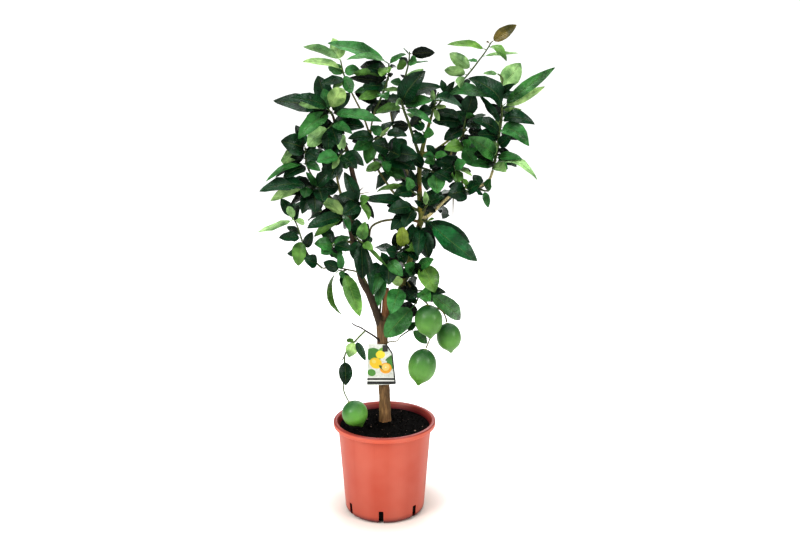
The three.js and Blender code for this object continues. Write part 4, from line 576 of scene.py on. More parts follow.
# Marks on the bark: x, z, depth, reach, colour and how far they cover it.
BARK_MARKS = [
    (0, 182, -6, 26, (176, 128, 84), 0.85), (-4, 222, -6, 24, (158, 122, 80), 0.75),
    (-6, 262, -6, 24, (148, 116, 78), 0.7), (9, 300, -6, 12, (58, 44, 34), 0.6),
    (9, 330, -6, 12, (58, 44, 34), 0.6), (9, 262, -6, 14, (64, 48, 36), 0.5),
    (73, 703, -5, 7, (196, 110, 58), 0.85), (76, 660, -4, 8, (196, 176, 74), 0.7),
    (66, 630, 4, 7, (206, 128, 92), 0.6), (6, 493, 4, 5, (30, 24, 20), 0.95),
    (3, 462, -2, 9, (172, 118, 76), 0.6), (40, 505, 10, 12, (138, 132, 70), 0.5),
    (-10, 422, -6, 12, (60, 48, 38), 0.6),
]


def sight(x, z, depth):
    """The real place, in metres, of a point seen at x, z: deeper points lie further along the same line."""
    share = depth / -SIGHT[1]
    return np.array((x + (x - SIGHT[0]) * share, -SIGHT[1] * share, z + (z - SIGHT[2]) * share)) / 1000


def tube(name, places, radii, sides, smooth=4):
    """A round stem that passes smoothly through places, closed at both ends."""
    run = bpy.data.curves.new(name, "CURVE")
    run.dimensions = "3D"
    run.bevel_depth = 0.001
    run.bevel_resolution = max(0, sides // 4 - 1)
    run.use_fill_caps = True
    spline = run.splines.new("BEZIER")
    spline.resolution_u = smooth
    spline.bezier_points.add(len(places) - 1)
    for point, place, radius in zip(spline.bezier_points, places, radii):
        point.co = place
        point.radius = radius
        point.handle_left_type = point.handle_right_type = "AUTO"
    new_piece(name, run)
    bpy.ops.object.convert(target="MESH")
    return bpy.context.object


def painted(piece, colours):
    """Gives each corner of a mesh its colour: one for all, or one for each vertex."""
    mesh = piece.data
    layer = mesh.color_attributes.new("tone", "FLOAT_COLOR", "CORNER")
    corner_vertex = np.zeros(len(mesh.loops), int)
    mesh.loops.foreach_get("vertex_index", corner_vertex)
    colours = np.broadcast_to(np.asarray(colours, float), (len(mesh.vertices), 3))
    values = np.ones((len(corner_vertex), 4))
    values[:, :3] = colours[corner_vertex]
    layer.data.foreach_set("color", values.ravel())


def joined(name, pieces):
    """Several meshes as one piece."""
    choose(*pieces)
    bpy.ops.object.join()
    piece = bpy.context.object
    piece.name = name
    return piece


def each_vertex(mesh, what):
    """A place or direction of each vertex of a mesh, one to a row."""
    values = np.zeros(len(mesh.vertices) * 3)
    mesh.vertices.foreach_get(what, values)
    return values.reshape(-1, 3)


stems = []
for _, rows in STEMS.values():
    sides = 16 if rows[0][3] > STOUT else 8
    stems.append(tube("stem", [sight(*row[:3]) for row in rows], [row[3] for row in rows], sides))
wood = joined("trunk_and_limbs_bark", stems)
changed(wood, "REMESH", mode="VOXEL", voxel_size=VOXEL)
changed(wood, "SMOOTH", factor=0.5, iterations=3)

skin = each_vertex(wood.data, "co")
nearest = np.full(len(skin), np.inf)
own_colour = np.zeros((len(skin), 3))
own_radius = np.zeros(len(skin))
for bark_colour, rows in STEMS.values():
    for first, second in zip(rows, rows[1:]):
        start, end = sight(*first[:3]), sight(*second[:3])
        run = end - start
        share = np.clip(((skin - start) @ run) / (run @ run), 0, 1)
        radius = (first[3] + (second[3] - first[3]) * share) / 1000
        beyond = np.linalg.norm(skin - start - share[:, None] * run, axis=1) - radius
        closer = beyond < nearest
        nearest[closer] = beyond[closer]
        own_colour[closer] = srgb(*bark_colour)
        own_radius[closer] = radius[closer]
for x, z, depth, reach, mark_colour, cover in BARK_MARKS:
    away = np.linalg.norm(skin - sight(x, z, depth), axis=1) / (reach / 1000)
    share = (cover * np.exp(-away ** 2 * MARK_SOFTNESS))[:, None]
    own_colour = own_colour * (1 - share) + np.array(srgb(*mark_colour)) * share
painted(wood, own_colour)
ridges = np.array([
    space_noise.noise(Vector((x * 230, y * 230, z * 46)))
    + 0.6 * space_noise.noise(Vector((x * 520, y * 520, z * 90)))
    for x, y, z in skin])
depth_of_bark = np.clip(own_radius / 0.014, 0.05, 1)[:, None] * BARK_RELIEF
skin = skin + each_vertex(wood.data, "normal") * ridges[:, None] * depth_of_bark
wood.data.vertices.foreach_set("co", skin.ravel())
spines = []
for foot, point in SPINES:
    spine = tube("spine", [sight(*foot), sight(*point)], SPINE_RADII, 8, 2)
    painted(spine, SPINE_OLIVE)
    spines.append(spine)
wood = joined("trunk_and_limbs_bark", [*spines, wood])
bark = Finish("bark", srgb(*BARK_BROWN), 0.82)
tone = bark.tone()
fissures = bark.noise(330, 5, 0.65, stretch=(1, 1, 0.16))
patches = bark.band(bark.noise(62, 3, stretch=(1, 1, 0.5)), 0.52, 0.7, 0, 0.45)
bark.colour = tone
bark.shade(bark.band(fissures, 0.3, 0.7), (0.5, 0.48, 0.45), (1.5, 1.46, 1.38))
bark.cover(patches, bark.blend(1.0, tone, (1.6, 1.5, 1.3), "MULTIPLY"))
bark.cover(bark.band(bark.noise(480, 2), 0.66, 0.74, 0, 0.5), srgb(52, 40, 30))
bark.done(fissures, FISSURE_RELIEF)
wood.data.materials.clear()
wood.data.materials.append(bark.material)
smoothed(wood, 60)
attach(wood, "root")
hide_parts("trunk_and_limbs")

# ---------- leafy shoots ----------
# Fifty twigs carry the crown's citrus leaves: leathery ovals on short stalks, folded a little along a
# pale midrib, glossy and dark above, paler and matt below. A few are bronzed, blotched or faded.
# A shoot is its twig by places, the radius at its foot and end, and its leaves. A leaf is its share
# along the twig, its tip's x, z and depth, its width, turn and arch, and the letter of its tone.
SHOOTS = {
    "top_left": ([(-70, 908, -7), (-79, 932, -9), (-84, 956, -11)], (2, 1.4), [
        (1, -158, 982, -30, 20, -60, 0.16, "P"), (1, -99, 999, 0, 31, -85, 0.05, "P"),
        (0.55, -160, 953, -36, 22, 42, 0.1, "P"), (0.1, -124, 910, -50, 22, 55, 0.04, "D"),
        (0, -101, 902, -60, 21, -50, 0.12, "O"), (0.35, -63, 893, -40, 23.5, -85, 0.05, "M"),
        (0.4, -46, 938, -8, 25, 58, 0.05, "M"), (0.3, -109, 944, -14, 26, 58, 0.1, "M"),
    ]),
    "top_middle": ([
        (-18, 856, -10), (-8, 876, -13), (4, 905, -15), (11, 930, -17), (11, 950, -18),
    ], (2.6, 1.5), [
        (1, -110, 989, -12, 33, 50, 0.07, "M"), (1, -73, 957, -50, 20, 36, 0.15, "M"),
        (0.97, 46, 968, -26, 18, 36, 0.12, "M"), (0.95, -4, 925, -55, 28, 48, 0, "O"),
        (0.75, -32, 943, -26, 26, 60, 0.15, "D"), (0.6, -60, 932, -46, 29, -52, 0.08, "O"),
        (0.5, -43, 903, -30, 29, 52, 0.1, "D"), (0.35, -50, 880, -50, 24, 56, 0.06, "O"),
        (0.3, 8, 880, -70, 25.5, 58, 0.1, "M"), (0.4, -58, 894, -20, 22, 50, 0.08, "M"),
        (0.9, 26, 944, 10, 10.5, 48, 0.1, "D"),
    ]),
    "top_green": ([
        (73, 768, -2), (62, 800, -6), (50, 836, -9), (38, 870, -9), (36, 892, -8), (43, 922, -8),
        (51, 955, -8), (52, 973, -8),
    ], (3.4, 1.3), [
        (0.66, 14, 914, -22, 23, 42, 0.15, "M"), (0.62, -3, 898, -30, 13, -48, 0.05, "P"),
        (0.56, 25, 868, -14, 9.5, -80, 0, "P"), (0.5, 84, 936, -44, 44, 68, 0.16, "D"),
        (0.5, 118, 904, -20, 28, 56, 0.26, "D"), (0.5, 98, 878, -66, 27, 68, 0.06, "M"),
        (0.66, 80, 940, 12, 25, -85, 0.08, "P"), (0.92, 67, 952, -22, 21.5, 80, 0.05, "M"),
        (0.88, 90, 955, -12, 8.5, 20, 0, "M"), (0.88, 27, 942, -22, 23, -56, 0.1, "O"),
        (0.44, -16, 852, -34, 24, -50, 0.14, "O"), (0.44, 0, 858, 10, 14, 48, 0.2, "D"),
        (0.44, 98, 832, -44, 19.5, 48, 0.1, "M"), (0.4, 76, 834, -10, 13, -48, 0.02, "P"),
        (0.97, 40, 980, -20, 5.5, 20, 0, "M"),
    ]),
    "limb_top": ([(96, 846, 2), (101, 868, 0), (106, 885, 0), (110, 895, 0)], (2.6, 1.4), [
        (0.3, 97, 902, -14, 10.5, -80, 0, "P"), (0.5, 118, 890, -22, 10.5, -80, 0, "P"),
        (0.2, 126, 867, -30, 9.5, -78, 0.05, "P"), (0.2, 112, 838, -30, 12, -68, 0.02, "P"),
        (0.1, 68, 853, -4, 25.5, 68, 0.1, "D"), (0.1, 90, 866, 22, 23.5, 78, 0.1, "D"),
        (0.05, 160, 843, -34, 23.5, 53, 0.06, "D"), (0.2, 158, 866, -40, 26, 40, 0.24, "D"),
    ]),
    "right_fan": ([(104, 864, 3), (115, 877, -4), (124, 891, -8)], (2.1, 1.5), [
        (1, 142, 916, -22, 13, 80, 0.05, "D"), (1, 115, 919, -14, 14, 80, 0.1, "D"),
        (0.9, 212, 884, -44, 31, 48, 0.2, "M"), (0.8, 150, 898, 30, 23.5, 48, 0.1, "D"),
    ]),
    "top_right_sprig": ([
        (125, 891, -6), (146, 906, -10), (168, 929, -14), (190, 957, -18), (202, 973, -18),
        (213, 991, -20),
    ], (2.1, 1.3), [
        (1, 262, 1024, -34, 24.5, 78, 0.04, "B"), (0.97, 203, 991, -30, 8.5, 20, 0.1, "B"),
        (0.87, 126, 986, -40, 20, 42, 0.1, "O"), (0.92, 244, 954, -46, 20, 50, 0.24, "O"),
        (0.76, 268, 970, -36, 10.5, -43, 0.02, "P"), (0.52, 131, 970, -34, 26, -85, 0.05, "P"),
        (0.66, 168, 957, 4, 12, 40, 0, "M"), (0.42, 121, 938, -44, 24, -65, 0.05, "P"),
        (0.4, 149, 907, -54, 20, -70, 0.1, "P"), (0.3, 170, 902, 24, 21.5, 48, 0.1, "D"),
    ]),
    "right_top": ([
        (237, 856.8, -6), (234, 888, -8), (235, 906, -8), (236, 922, -8), (228, 930, -8),
    ], (2.8, 1.5), [
        (0.6, 272, 951, -20, 40.5, -85, 0.05, "P"), (0.45, 262, 911, -44, 15, 68, 0.1, "D"),
        (1, 198, 931, -16, 10.5, 58, 0.05, "P"), (0.12, 341, 943, -34, 26, 70, 0.04, "M"),
        (0.1, 322, 906, -6, 20.5, -78, -0.05, "P"), (0.04, 277, 860, -34, 10.5, -68, 0.02, "P"),
        (0.08, 168, 922, -46, 44, 54, 0.24, "D"), (0.4, 200, 900, 30, 25.5, 58, 0.1, "D"),
        (0.3, 272, 888, 46, 25.5, 48, 0.1, "D"),
    ]),
    "right_upper": ([(230.2, 780.8, -7), (233, 815, -7), (236, 838, -7), (237, 856, -6)], (3, 2.8), [
        (0.75, 304, 831, -34, 28, 62, 0.34, "D"), (0.5, 294, 788, -54, 36, 62, 0.4, "M"),
        (0.1, 259, 808, -20, 23.5, 80, 0.05, "D"), (0.65, 190, 890, -22, 14, 68, 0.12, "D"),
        (0.4, 178, 840, -44, 30, 55, 0.2, "D"), (0.35, 188, 812, -62, 27, 68, 0.05, "D"),
        (0.5, 226, 848, -24, 13, -80, 0.02, "P"), (0.25, 196, 800, 46, 26, 50, 0.1, "D"),
        (0.8, 262, 870, 24, 23.5, 48, 0.1, "D"), (0.6, 275, 815, 34, 25.5, 58, 0.1, "D"),
    ]),
    "right_lower": ([(222.2, 740.8, -7), (225, 757, -8), (230, 780, -7)], (3, 2.9), [
        (0.4, 196, 803, -46, 38, -75, 0.1, "P"), (0.6, 170, 806, -104, 36, 72, 0.08, "M"),
        (0.4, 168, 778, -40, 32, 68, 0.1, "M"), (0.1, 177, 748, -50, 25.5, 58, 0.08, "M"),
        (0.1, 313, 719, -54, 22, 44, 0.28, "P"), (0.5, 281, 761, -36, 21.5, 53, 0.1, "M"),
        (0.1, 249, 736, -44, 24, 70, 0.05, "P"), (0.7, 190, 780, 30, 30, 58, 0.1, "D"),
        (0.3, 270, 748, 34, 23.5, 53, 0.12, "D"), (0.1, 252, 742, -20, 26, 70, 0.1, "M"),
    ]),
    "right_foot": ([(191, 706, -10), (201, 699, -20), (214, 697, -26)], (2.4, 1.5), [
        (0.2, 175, 689, -34, 9.5, 38, 0.05, "D"), (0.6, 214, 663, -38, 15, 80, 0, "M"),
        (0.1, 178, 706, -56, 36.5, 63, 0.1, "D"), (0.8, 218, 722, -50, 20, 60, 0.05, "M"),
        (0, 182, 730, -60, 27, 60, 0.1, "D"), (0.4, 204, 712, 30, 28, 58, 0.1, "D"),
    ]),
    "right_heart": ([(160, 812, -12), (163, 834, -14), (167, 852, -16)], (2.2, 1.5), [
        (1, 180, 893, -24, 33, 85, 0.05, "D"), (0.6, 144, 857, -30, 21.5, 68, 0.1, "D"),
        (0.7, 182, 850, -44, 17, -58, 0.1, "M"), (0.1, 122, 800, -20, 29, 68, 0.05, "D"),
        (0.4, 196, 826, 10, 23.5, 58, 0.1, "D"), (0.9, 150, 884, 14, 23.5, 68, 0.1, "D"),
        (0.4, 98, 838, -10, 34, 60, 0.1, "D"),
    ]),
    "heart_middle": ([(170, 776, -12), (166, 782, -22), (158, 788, -30)], (2, 1.5), [
        (0.8, 122, 781, -50, 28, 68, 0.2, "O"), (0.2, 138, 776, -34, 12, 40, 0.25, "D"),
        (0.6, 180, 800, -48, 21.5, 68, 0.1, "M"), (0.9, 186, 748, -26, 32, 80, 0.05, "M"),
    ]),
    "heart_low": ([(153, 738, -13), (146, 742, -24), (142, 748, -32)], (2.2, 1.5), [
        (0.5, 112, 757, -44, 38.5, 58, 0.12, "D"), (0.1, 132, 735, -36, 12, -48, 0.1, "P"),
        (0.4, 180, 727, -40, 13, 48, 0.18, "P"), (1, 118, 736, -56, 23.5, 68, 0.05, "D"),
        (0.8, 168, 756, -56, 24, 70, 0.1, "M"), (0.3, 150, 712, -36, 26, 70, 0.05, "O"),
        (0.6, 130, 770, 0, 28, 58, 0.1, "D"),
    ]),
    "cream_leaves": ([(160, 703, -14), (166, 699, -26), (172, 696, -34)], (2.2, 1.5), [
        (0.7, 131, 688, -44, 38.5, 78, 0.12, "D"), (0.3, 132, 706, -30, 23.5, 58, 0.1, "D"),
        (1, 198, 712, -84, 28, 60, 0.1, "D"), (0.6, 150, 676, -30, 25.5, 80, 0.05, "D"),
        (0.9, 160, 724, -40, 15, -48, 0.1, "O"),
    ]),
    "fan_left": ([(100, 779, -3), (102, 768, -12), (104, 758, -18)], (2.2, 1.5), [
        (0.5, 129, 771, -34, 18, 58, 0.1, "M"), (0.3, 86, 790, -22, 19.5, 68, 0.1, "D"),
        (1, 82, 755, -36, 18, 68, 0.1, "M"), (1, 122, 746, -34, 19.5, 58, 0.1, "D"),
        (0.8, 80, 770, -10, 19.5, -58, 0.1, "M"),
    ]),
    "limb_middle": ([(74, 745, -2), (92, 740, -14), (105, 734, -22)], (2.5, 1.6), [
        (1, 110, 692, -50, 36, 85, 0.08, "M"), (0.6, 88, 698, -36, 27, 80, 0.08, "D"),
        (0.8, 140, 716, -34, 25.5, 58, 0.1, "D"), (0.3, 84, 722, -30, 17, 78, 0.05, "D"),
        (0.5, 118, 752, 16, 25.5, 58, 0.1, "D"), (0.1, 50, 774, 20, 26, 60, 0.1, "D"),
    ]),
    "limb_scar": ([(79, 657, -2), (86, 663, -12), (88, 668, -18)], (2.2, 1.5), [
        (0.8, 84, 698, -24, 13, 80, 0.05, "P"), (1, 126, 685, -38, 23.5, 53, 0.12, "D"),
        (1, 98, 700, -30, 21.5, 78, 0.05, "D"), (0.3, 62, 678, -22, 13, 58, 0.05, "D"),
        (0.5, 120, 664, 20, 25.5, 58, 0.1, "D"),
    ]),
    "limb_high": ([(84, 804, 3), (82, 812, -8), (80, 816, -16)], (2.2, 1.5), [
        (0.3, 60, 794, -20, 28, 78, 0.1, "D"), (0.8, 102, 812, -34, 23.5, 78, 0.05, "M"),
        (1, 62, 838, 0, 23.5, 68, 0.1, "D"),
    ]),
    "middle_dark": ([(-11, 742, -13), (2, 758, -24), (14, 778, -30)], (2.4, 1.6), [
        (1, -24, 792, -44, 38.5, 58, 0.1, "D"), (1, 34, 768, -70, 43, 80, 0.05, "D"),
        (0.9, 70, 766, -40, 36.5, 68, 0.1, "D"), (0.6, 66, 740, -44, 34, 58, 0.1, "D"),
        (0.4, -6, 776, -40, 19.5, 80, 0.05, "M"), (0.5, 10, 736, -56, 19.5, 80, 0.05, "M"),
        (0.3, -36, 738, -44, 19.5, -68, 0.05, "O"), (0.8, 46, 800, -10, 38.5, 68, 0.1, "D"),
        (0.5, 40, 748, 20, 34, 48, 0.1, "D"), (0.3, 44, 724, -30, 19.5, 58, 0.1, "M"),
        (0.1, 34, 722, -16, 24, 60, 0.1, "M"),
    ]),
    "middle_top": ([(-26, 800, -13), (-12, 804, -24), (4, 812, -32)], (2, 1.5), [
        (1, 48, 808, -50, 21.5, 58, 0.15, "D"), (0.6, 12, 826, -44, 8.5, -60, 0, "P"),
        (0.3, -72, 803, -44, 25.5, 58, 0.14, "D"), (0.7, -26, 828, -24, 23.5, 58, 0.1, "M"),
        (0.2, -62, 780, -30, 25.5, 78, 0.05, "M"), (0.1, -34, 752, -34, 28, 80, 0.02, "M"),
        (0.8, 20, 836, 10, 23.5, 48, 0.1, "D"),
    ]),
    "left_crown": ([(-101, 848, -14), (-106, 856, -22), (-110, 862, -30)], (2.6, 1.8), [
        (0, -2, 836, -56, 31, 46, 0.06, "M"), (0.1, -172, 802, -44, 34, 66, 0.2, "M"),
        (0.7, -168, 872, -84, 27, -62, 0.14, "P"), (0.8, -220, 878, -40, 40, 56, 0.05, "D"),
        (0.9, -185, 883, -52, 28, 56, 0.14, "D"), (1, -130, 927, -20, 37, 85, 0.1, "D"),
        (1, -119, 902, -62, 27, 80, 0.08, "M"), (0.9, -80, 902, -66, 36.5, -85, 0.05, "P"),
        (0.2, -66, 893, 0, 27, 80, 0.1, "D"),
    ]),
    "left_crown_low": ([(-97, 836, -14), (-104, 830, -24), (-108, 826, -32)], (2.2, 1.6), [
        (1, -154, 788, -70, 35.5, -73, 0.1, "P"), (0.3, -42, 852, -30, 21.5, 58, 0.12, "D"),
        (0.5, -132, 820, -10, 19.5, 58, 0.1, "D"), (0.6, -92, 790, -50, 32, 80, 0.08, "D"),
        (1, -112, 776, -40, 28, 85, 0.05, "D"), (0.2, -66, 822, -76, 12, -48, 0.05, "P"),
        (0.9, -150, 838, 20, 25.5, 58, 0.1, "D"), (0.1, -38, 826, -20, 36, 60, 0.08, "D"),
        (0.3, -62, 812, -60, 22, 60, 0.1, "M"),
    ]),
    "left_limb_leaves": ([(-74, 782, -17), (-82, 776, -28), (-88, 768, -36)], (2.4, 1.6), [
        (0.2, -40, 748, -44, 25.5, 68, 0.12, "D"), (1, -136, 756, -50, 32, 58, 0.1, "M"),
        (0.7, -74, 742, -44, 25.5, -68, 0.05, "M"), (0.5, -80, 812, -50, 21.5, -58, 0.1, "P"),
        (1, -104, 742, -56, 13, -80, 0.02, "P"), (0.8, -110, 720, -40, 32, 80, 0.05, "D"),
        (0.9, -122, 716, -30, 36, 78, 0.06, "D"), (0.9, -120, 790, 0, 25.5, 68, 0.1, "D"),
        (0.9, -54, 742, -84, 28, 60, 0.08, "D"),
    ]),
    "left_shoulder": ([(-151, 738, -12), (-157, 758, -16), (-158, 785, -18)], (2.2, 1.5), [
        (0.95, -207, 798, -50, 45, 76, 0.14, "D"), (0.5, -208, 760, -50, 42, -62, 0.1, "P"),
        (0.2, -240, 716, -56, 18, 42, 0.14, "M"), (0.1, -204, 724, -34, 32, 55, 0.1, "D"),
        (0.8, -126, 758, -44, 28, 68, 0.1, "D"), (0.6, -136, 792, -34, 15, 80, 0.05, "D"),
        (0.3, -128, 738, -40, 19.5, 78, 0.1, "M"), (0.7, -196, 780, 24, 28, 48, 0.1, "D"),
        (1, -176, 830, 10, 21.5, 68, 0.1, "D"),
    ]),
    "left_arm_leaves": ([(-128, 704, -13), (-142, 706, -24), (-154, 706, -32)], (2.2, 1.5), [
        (0.8, -254, 696, -60, 37, 48, 0.14, "D"), (1, -163, 683, -56, 25, 80, 0.05, "M"),
        (0.9, -232, 677, -70, 26, -58, 0.1, "P"), (0.4, -168, 650, -46, 28, 78, 0.1, "D"),
        (0.3, -140, 652, -56, 36.5, 80, 0.1, "D"), (0, -124, 672, -70, 32, 78, 0.05, "D"),
        (0.6, -190, 716, 20, 28, 58, 0.1, "D"), (0.2, -158, 736, -50, 15, 68, 0.05, "M"),
        (0.1, -92, 704, -40, 38, 75, 0.08, "D"), (0.3, -104, 740, -20, 28, 70, 0.08, "D"),
    ]),
    "left_arm_low": ([(-90, 661, -16), (-85, 652, -28), (-80, 644, -36)], (2.2, 1.5), [
        (1, -128, 679, -64, 28, -62, 0.12, "P"), (1, -158, 620, -50, 31, 58, 0.12, "D"),
        (0.6, -70, 612, -60, 15, 68, 0.1, "M"), (1, -144, 602, -60, 25.5, -53, 0.1, "O"),
        (0.8, -128, 640, -20, 28, 68, 0.1, "D"), (0.5, -100, 690, 10, 30, 58, 0.1, "D"),
        (0.4, -76, 622, 14, 24, 70, 0.08, "D"),
    ]),
    "left_outer": ([
        (-128, 536, -36), (-150, 556, -38), (-160, 570, -38), (-168, 592, -38), (-180, 630, -38),
        (-186, 641, -38),
    ], (2, 1.4), [
        (0.98, -260, 612, -60, 20, 40, -0.03, "P"), (1, -210, 682, -26, 23.5, 80, 0.08, "D"),
        (0.98, -196, 666, -56, 17, -80, 0.05, "P"), (0.96, -163, 630, -50, 14, -68, 0.1, "P"),
        (0.62, -217, 600, -50, 25, 55, 0.08, "D"), (0.66, -199, 624, -20, 16, 68, 0.1, "D"),
        (0.6, -178, 541, -44, 31, 75, 0.08, "O"), (0.42, -147, 613, -44, 20.5, 80, 0.1, "D"),
        (0.05, -166, 557, -44, 29, 72, 0.05, "D"), (0.9, -176, 668, 0, 21.5, 58, 0.1, "D"),
        (0.2, -200, 568, 14, 25, 58, 0.1, "D"),
    ]),
    "left_spray_leaves": ([(-78, 533, -30), (-86, 530, -38), (-94, 532, -44)], (1.9, 1.5), [
        (1, -88, 434, -46, 24, 30, -0.32, "O"), (0, -82, 492, -36, 24, 75, 0.05, "D"),
        (0.2, -51, 432, -50, 33, 80, 0.08, "O"), (0.9, -126, 549, -50, 25.5, 78, 0.1, "D"),
        (0.6, -92, 572, -50, 16, 80, 0.05, "M"), (0.6, -86, 514, -64, 13, 80, 0.02, "M"),
    ]),
    "left_inner_leaves": ([(-98, 588, -31), (-104, 584, -38), (-108, 580, -44)], (2, 1.5), [
        (0.6, -144, 588, -64, 30, 68, 0.1, "M"), (1, -130, 566, -70, 26, 74, 0.05, "M"),
        (0.3, -66, 574, -60, 25.5, 58, 0.1, "D"), (0.2, -92, 554, -30, 22, 80, 0.05, "M"),
        (0.7, -122, 612, -20, 23.5, 58, 0.1, "O"), (0.4, -70, 602, -56, 21.5, -58, 0.1, "M"),
        (0.2, -132, 622, -20, 28, 60, 0.08, "D"),
    ]),
    "left_limb_low": ([(-64, 606, -19), (-52, 596, -30), (-44, 590, -38)], (2.4, 1.6), [
        (0.7, -38, 634, -46, 25, 85, 0.05, "O"), (1, -22, 576, -46, 18, 78, 0.05, "O"),
        (0.8, -45, 512, -50, 34, 85, 0.06, "D"), (1, 8, 537, -60, 9.5, 58, 0.02, "O"),
        (0.4, -62, 554, -50, 25.5, 80, 0.08, "D"), (0.9, -24, 600, -20, 21.5, 68, 0.1, "D"),
        (1, -27, 482, -40, 20, 60, 0.08, "D"), (0.3, -56, 640, -26, 28, 80, 0.05, "D"),
    ]),
    "left_limb_mid": ([(-58, 668, -18), (-50, 672, -28), (-44, 676, -34)], (2.2, 1.5), [
        (0.6, -28, 684, -50, 21.5, 68, 0.1, "O"), (0.3, -31, 637, -50, 17, 56, 0.3, "O"),
        (0.2, -92, 690, -50, 32, 78, 0.1, "D"), (0.4, -84, 648, -60, 32, 83, 0.05, "D"),
        (0.1, -64, 636, -84, 22, 80, 0.02, "D"), (0.2, -80, 736, -30, 26, 80, 0.05, "D"),
    ]),
    "limb_left_high": ([(74, 688, -2), (64, 692, -12), (56, 698, -20)], (2.3, 1.5), [
        (0.9, -15, 694, -50, 16, -48, 0.2, "O"), (0.7, 20, 688, -40, 29, 58, 0.1, "D"),
        (1, 46, 726, -30, 21.5, 68, 0.1, "M"), (0.6, 54, 742, -12, 19.5, 80, 0.05, "D"),
        (0.4, 30, 712, 10, 25.5, 58, 0.1, "D"),
    ]),
    "limb_left_low": ([(71, 656, -1), (64, 660, -12), (58, 664, -22)], (2.4, 1.6), [
        (0.9, -46, 679, -44, 28, 50, 0.1, "D"), (1, 8, 655, -50, 32, 68, 0.12, "D"),
        (0.5, 14, 616, -50, 34, 73, 0.08, "D"), (0.7, 40, 622, -60, 30, 80, 0.05, "D"),
        (0.3, 48, 640, 10, 32, 58, 0.1, "D"),
    ]),
    "yellow_drop": ([(58, 580, 10), (42, 578, -4), (28, 568, -14)], (2.4, 1.5), [
        (0.5, 36, 627, -22, 28, 85, 0.04, "Y"), (1, 4, 574, -30, 26, 80, 0.05, "D"),
        (0.3, 70, 552, -40, 28, 58, 0.1, "D"), (0.8, 44, 546, -44, 23.5, 78, 0.05, "D"),
        (0.2, 72, 572, -50, 21.5, 68, 0.1, "O"), (0, 60, 630, -6, 28, 80, 0.05, "D"),
    ]),
    "limb_drop": ([(70, 624, 4), (74, 622, -8), (78, 618, -18)], (2.4, 1.6), [
        (0.6, 70, 560, -50, 28, 85, 0.06, "D"), (1, 92, 556, -44, 36, 85, 0.06, "D"),
        (0.3, 52, 596, -44, 23.5, 80, 0.05, "D"), (0.4, 102, 598, -20, 19.5, 80, 0.05, "D"),
    ]),
    "veined": ([(79, 638, 0), (86, 636, -12), (92, 634, -20)], (2.4, 1.7), [
        (1, 194, 551, -66, 47, 66, -0.05, "V"), (0.5, 178, 590, -20, 32, 78, 0.12, "D"),
        (0.3, 110, 604, 6, 28, 80, 0.05, "D"), (0.8, 104, 640, -34, 8.5, 40, 0.05, "O"),
    ]),
    "stub_twig": ([(-9, 440, 0), (-6, 480, -7), (-5, 515, -9), (0, 540, -11), (8, 552, -13)], (2.4, 1.5), [
        (0.74, -13, 454, -44, 25.5, 85, 0.06, "M"), (0.86, -34, 528, -44, 25.5, 68, 0.05, "D"),
        (1, 10, 500, -50, 38.5, 85, 0.06, "D"), (1, 39, 519, -40, 27, 83, 0.1, "M"),
        (0.95, -6, 570, -40, 19.5, 80, 0.05, "D"), (0.8, 24, 545, 20, 28, 58, 0.1, "D"),
        (0.9, -24, 478, -20, 24, 80, 0.05, "M"),
    ]),
    "fruiting": ([(46, 510, 4), (62, 530, -8), (80, 546, -16)], (2.4, 1.6), [
        (1, 106, 484, -50, 44, 80, 0.06, "O"), (0.5, 42, 543, -40, 30, 75, 0.08, "M"),
        (0.8, 104, 556, -40, 23.5, 78, 0.05, "M"), (0.7, 40, 524, -24, 28, 80, 0.05, "D"),
        (0, 66, 500, 30, 30, 70, 0.05, "D"),
    ]),
    "fruiting_low": ([(63, 486, -9), (74, 488, -18), (84, 488, -22)], (2, 1.5), [
        (1, 161, 426, 30, 37, 75, 0.1, "M"), (0.5, 97, 464, -92, 30, 78, 0.06, "M"),
        (0.2, 50, 470, -50, 23.5, 80, 0.05, "D"), (0.6, 130, 484, -34, 21.5, 68, 0.1, "D"),
    ]),
    "trunk_leaves": ([(30, 481, 14), (30, 488, -2), (34, 496, -14)], (2.6, 1.7), [
        (1, 14, 437, -84, 38.5, 85, 0.06, "M"), (0.6, 70, 460, -30, 21.5, 78, 0.06, "D"),
        (0.9, 22, 518, -34, 23.5, -78, 0.05, "P"),
    ]),
    "big_low_leaf": ([(72, 475, -18), (68, 464, -26), (63, 456, -32)], (1.9, 1.5), [
        (1, 1, 387, -24, 49, 85, 0.08, "M"),
    ]),
    "low_right": ([(33.3, 387.6, -35), (46, 397, -36), (57, 404, -36)], (1.5, 1.4), [
        (1, 91, 373, -50, 20.5, 80, 0.06, "M"), (0.6, 66, 420, -20, 15, 80, 0.05, "M"),
    ]),
    "low_left": ([
        (-40, 401, -28), (-60, 380, -34), (-83, 350, -38), (-85, 325, -38), (-86, 300, -38),
        (-88, 270, -37), (-77.5, 243, -36),
    ], (2, 1.5), [
        (0.16, -80, 382, -46, 13, -58, 0.05, "O"), (0.14, -76, 342, -54, 26, 85, 0.05, "P"),
        (0.12, -40, 334, -50, 16, 85, 0.05, "D"), (0.42, -83, 279, -52, 29, 85, 0.05, "D"),
        (0.6, -97, 296, -40, 5.5, 20, 0, "-"), (0.36, -91, 334, -44, 5.5, 20, 0, "-"),
    ]),
    "back_left_low": ([(-72, 646, 74), (-104, 650, 96), (-132, 656, 110)], (2.2, 1.5), [
        (1, -196, 664, 120, 38.5, 30, 0.1, "D"), (0.8, -150, 640, 168, 36.5, 40, 0.12, "D"),
        (0.6, -130, 700, 130, 32, 50, 0.1, "D"), (0.5, -110, 610, 130, 36.5, -40, 0.1, "D"),
        (0.3, -80, 690, 120, 34, 40, 0.1, "D"), (0.9, -160, 700, 60, 32, 40, 0.1, "D"),
    ]),
    "back_left_high": ([(-100, 762, 121), (-118, 780, 132), (-130, 800, 138)], (2.3, 1.5), [
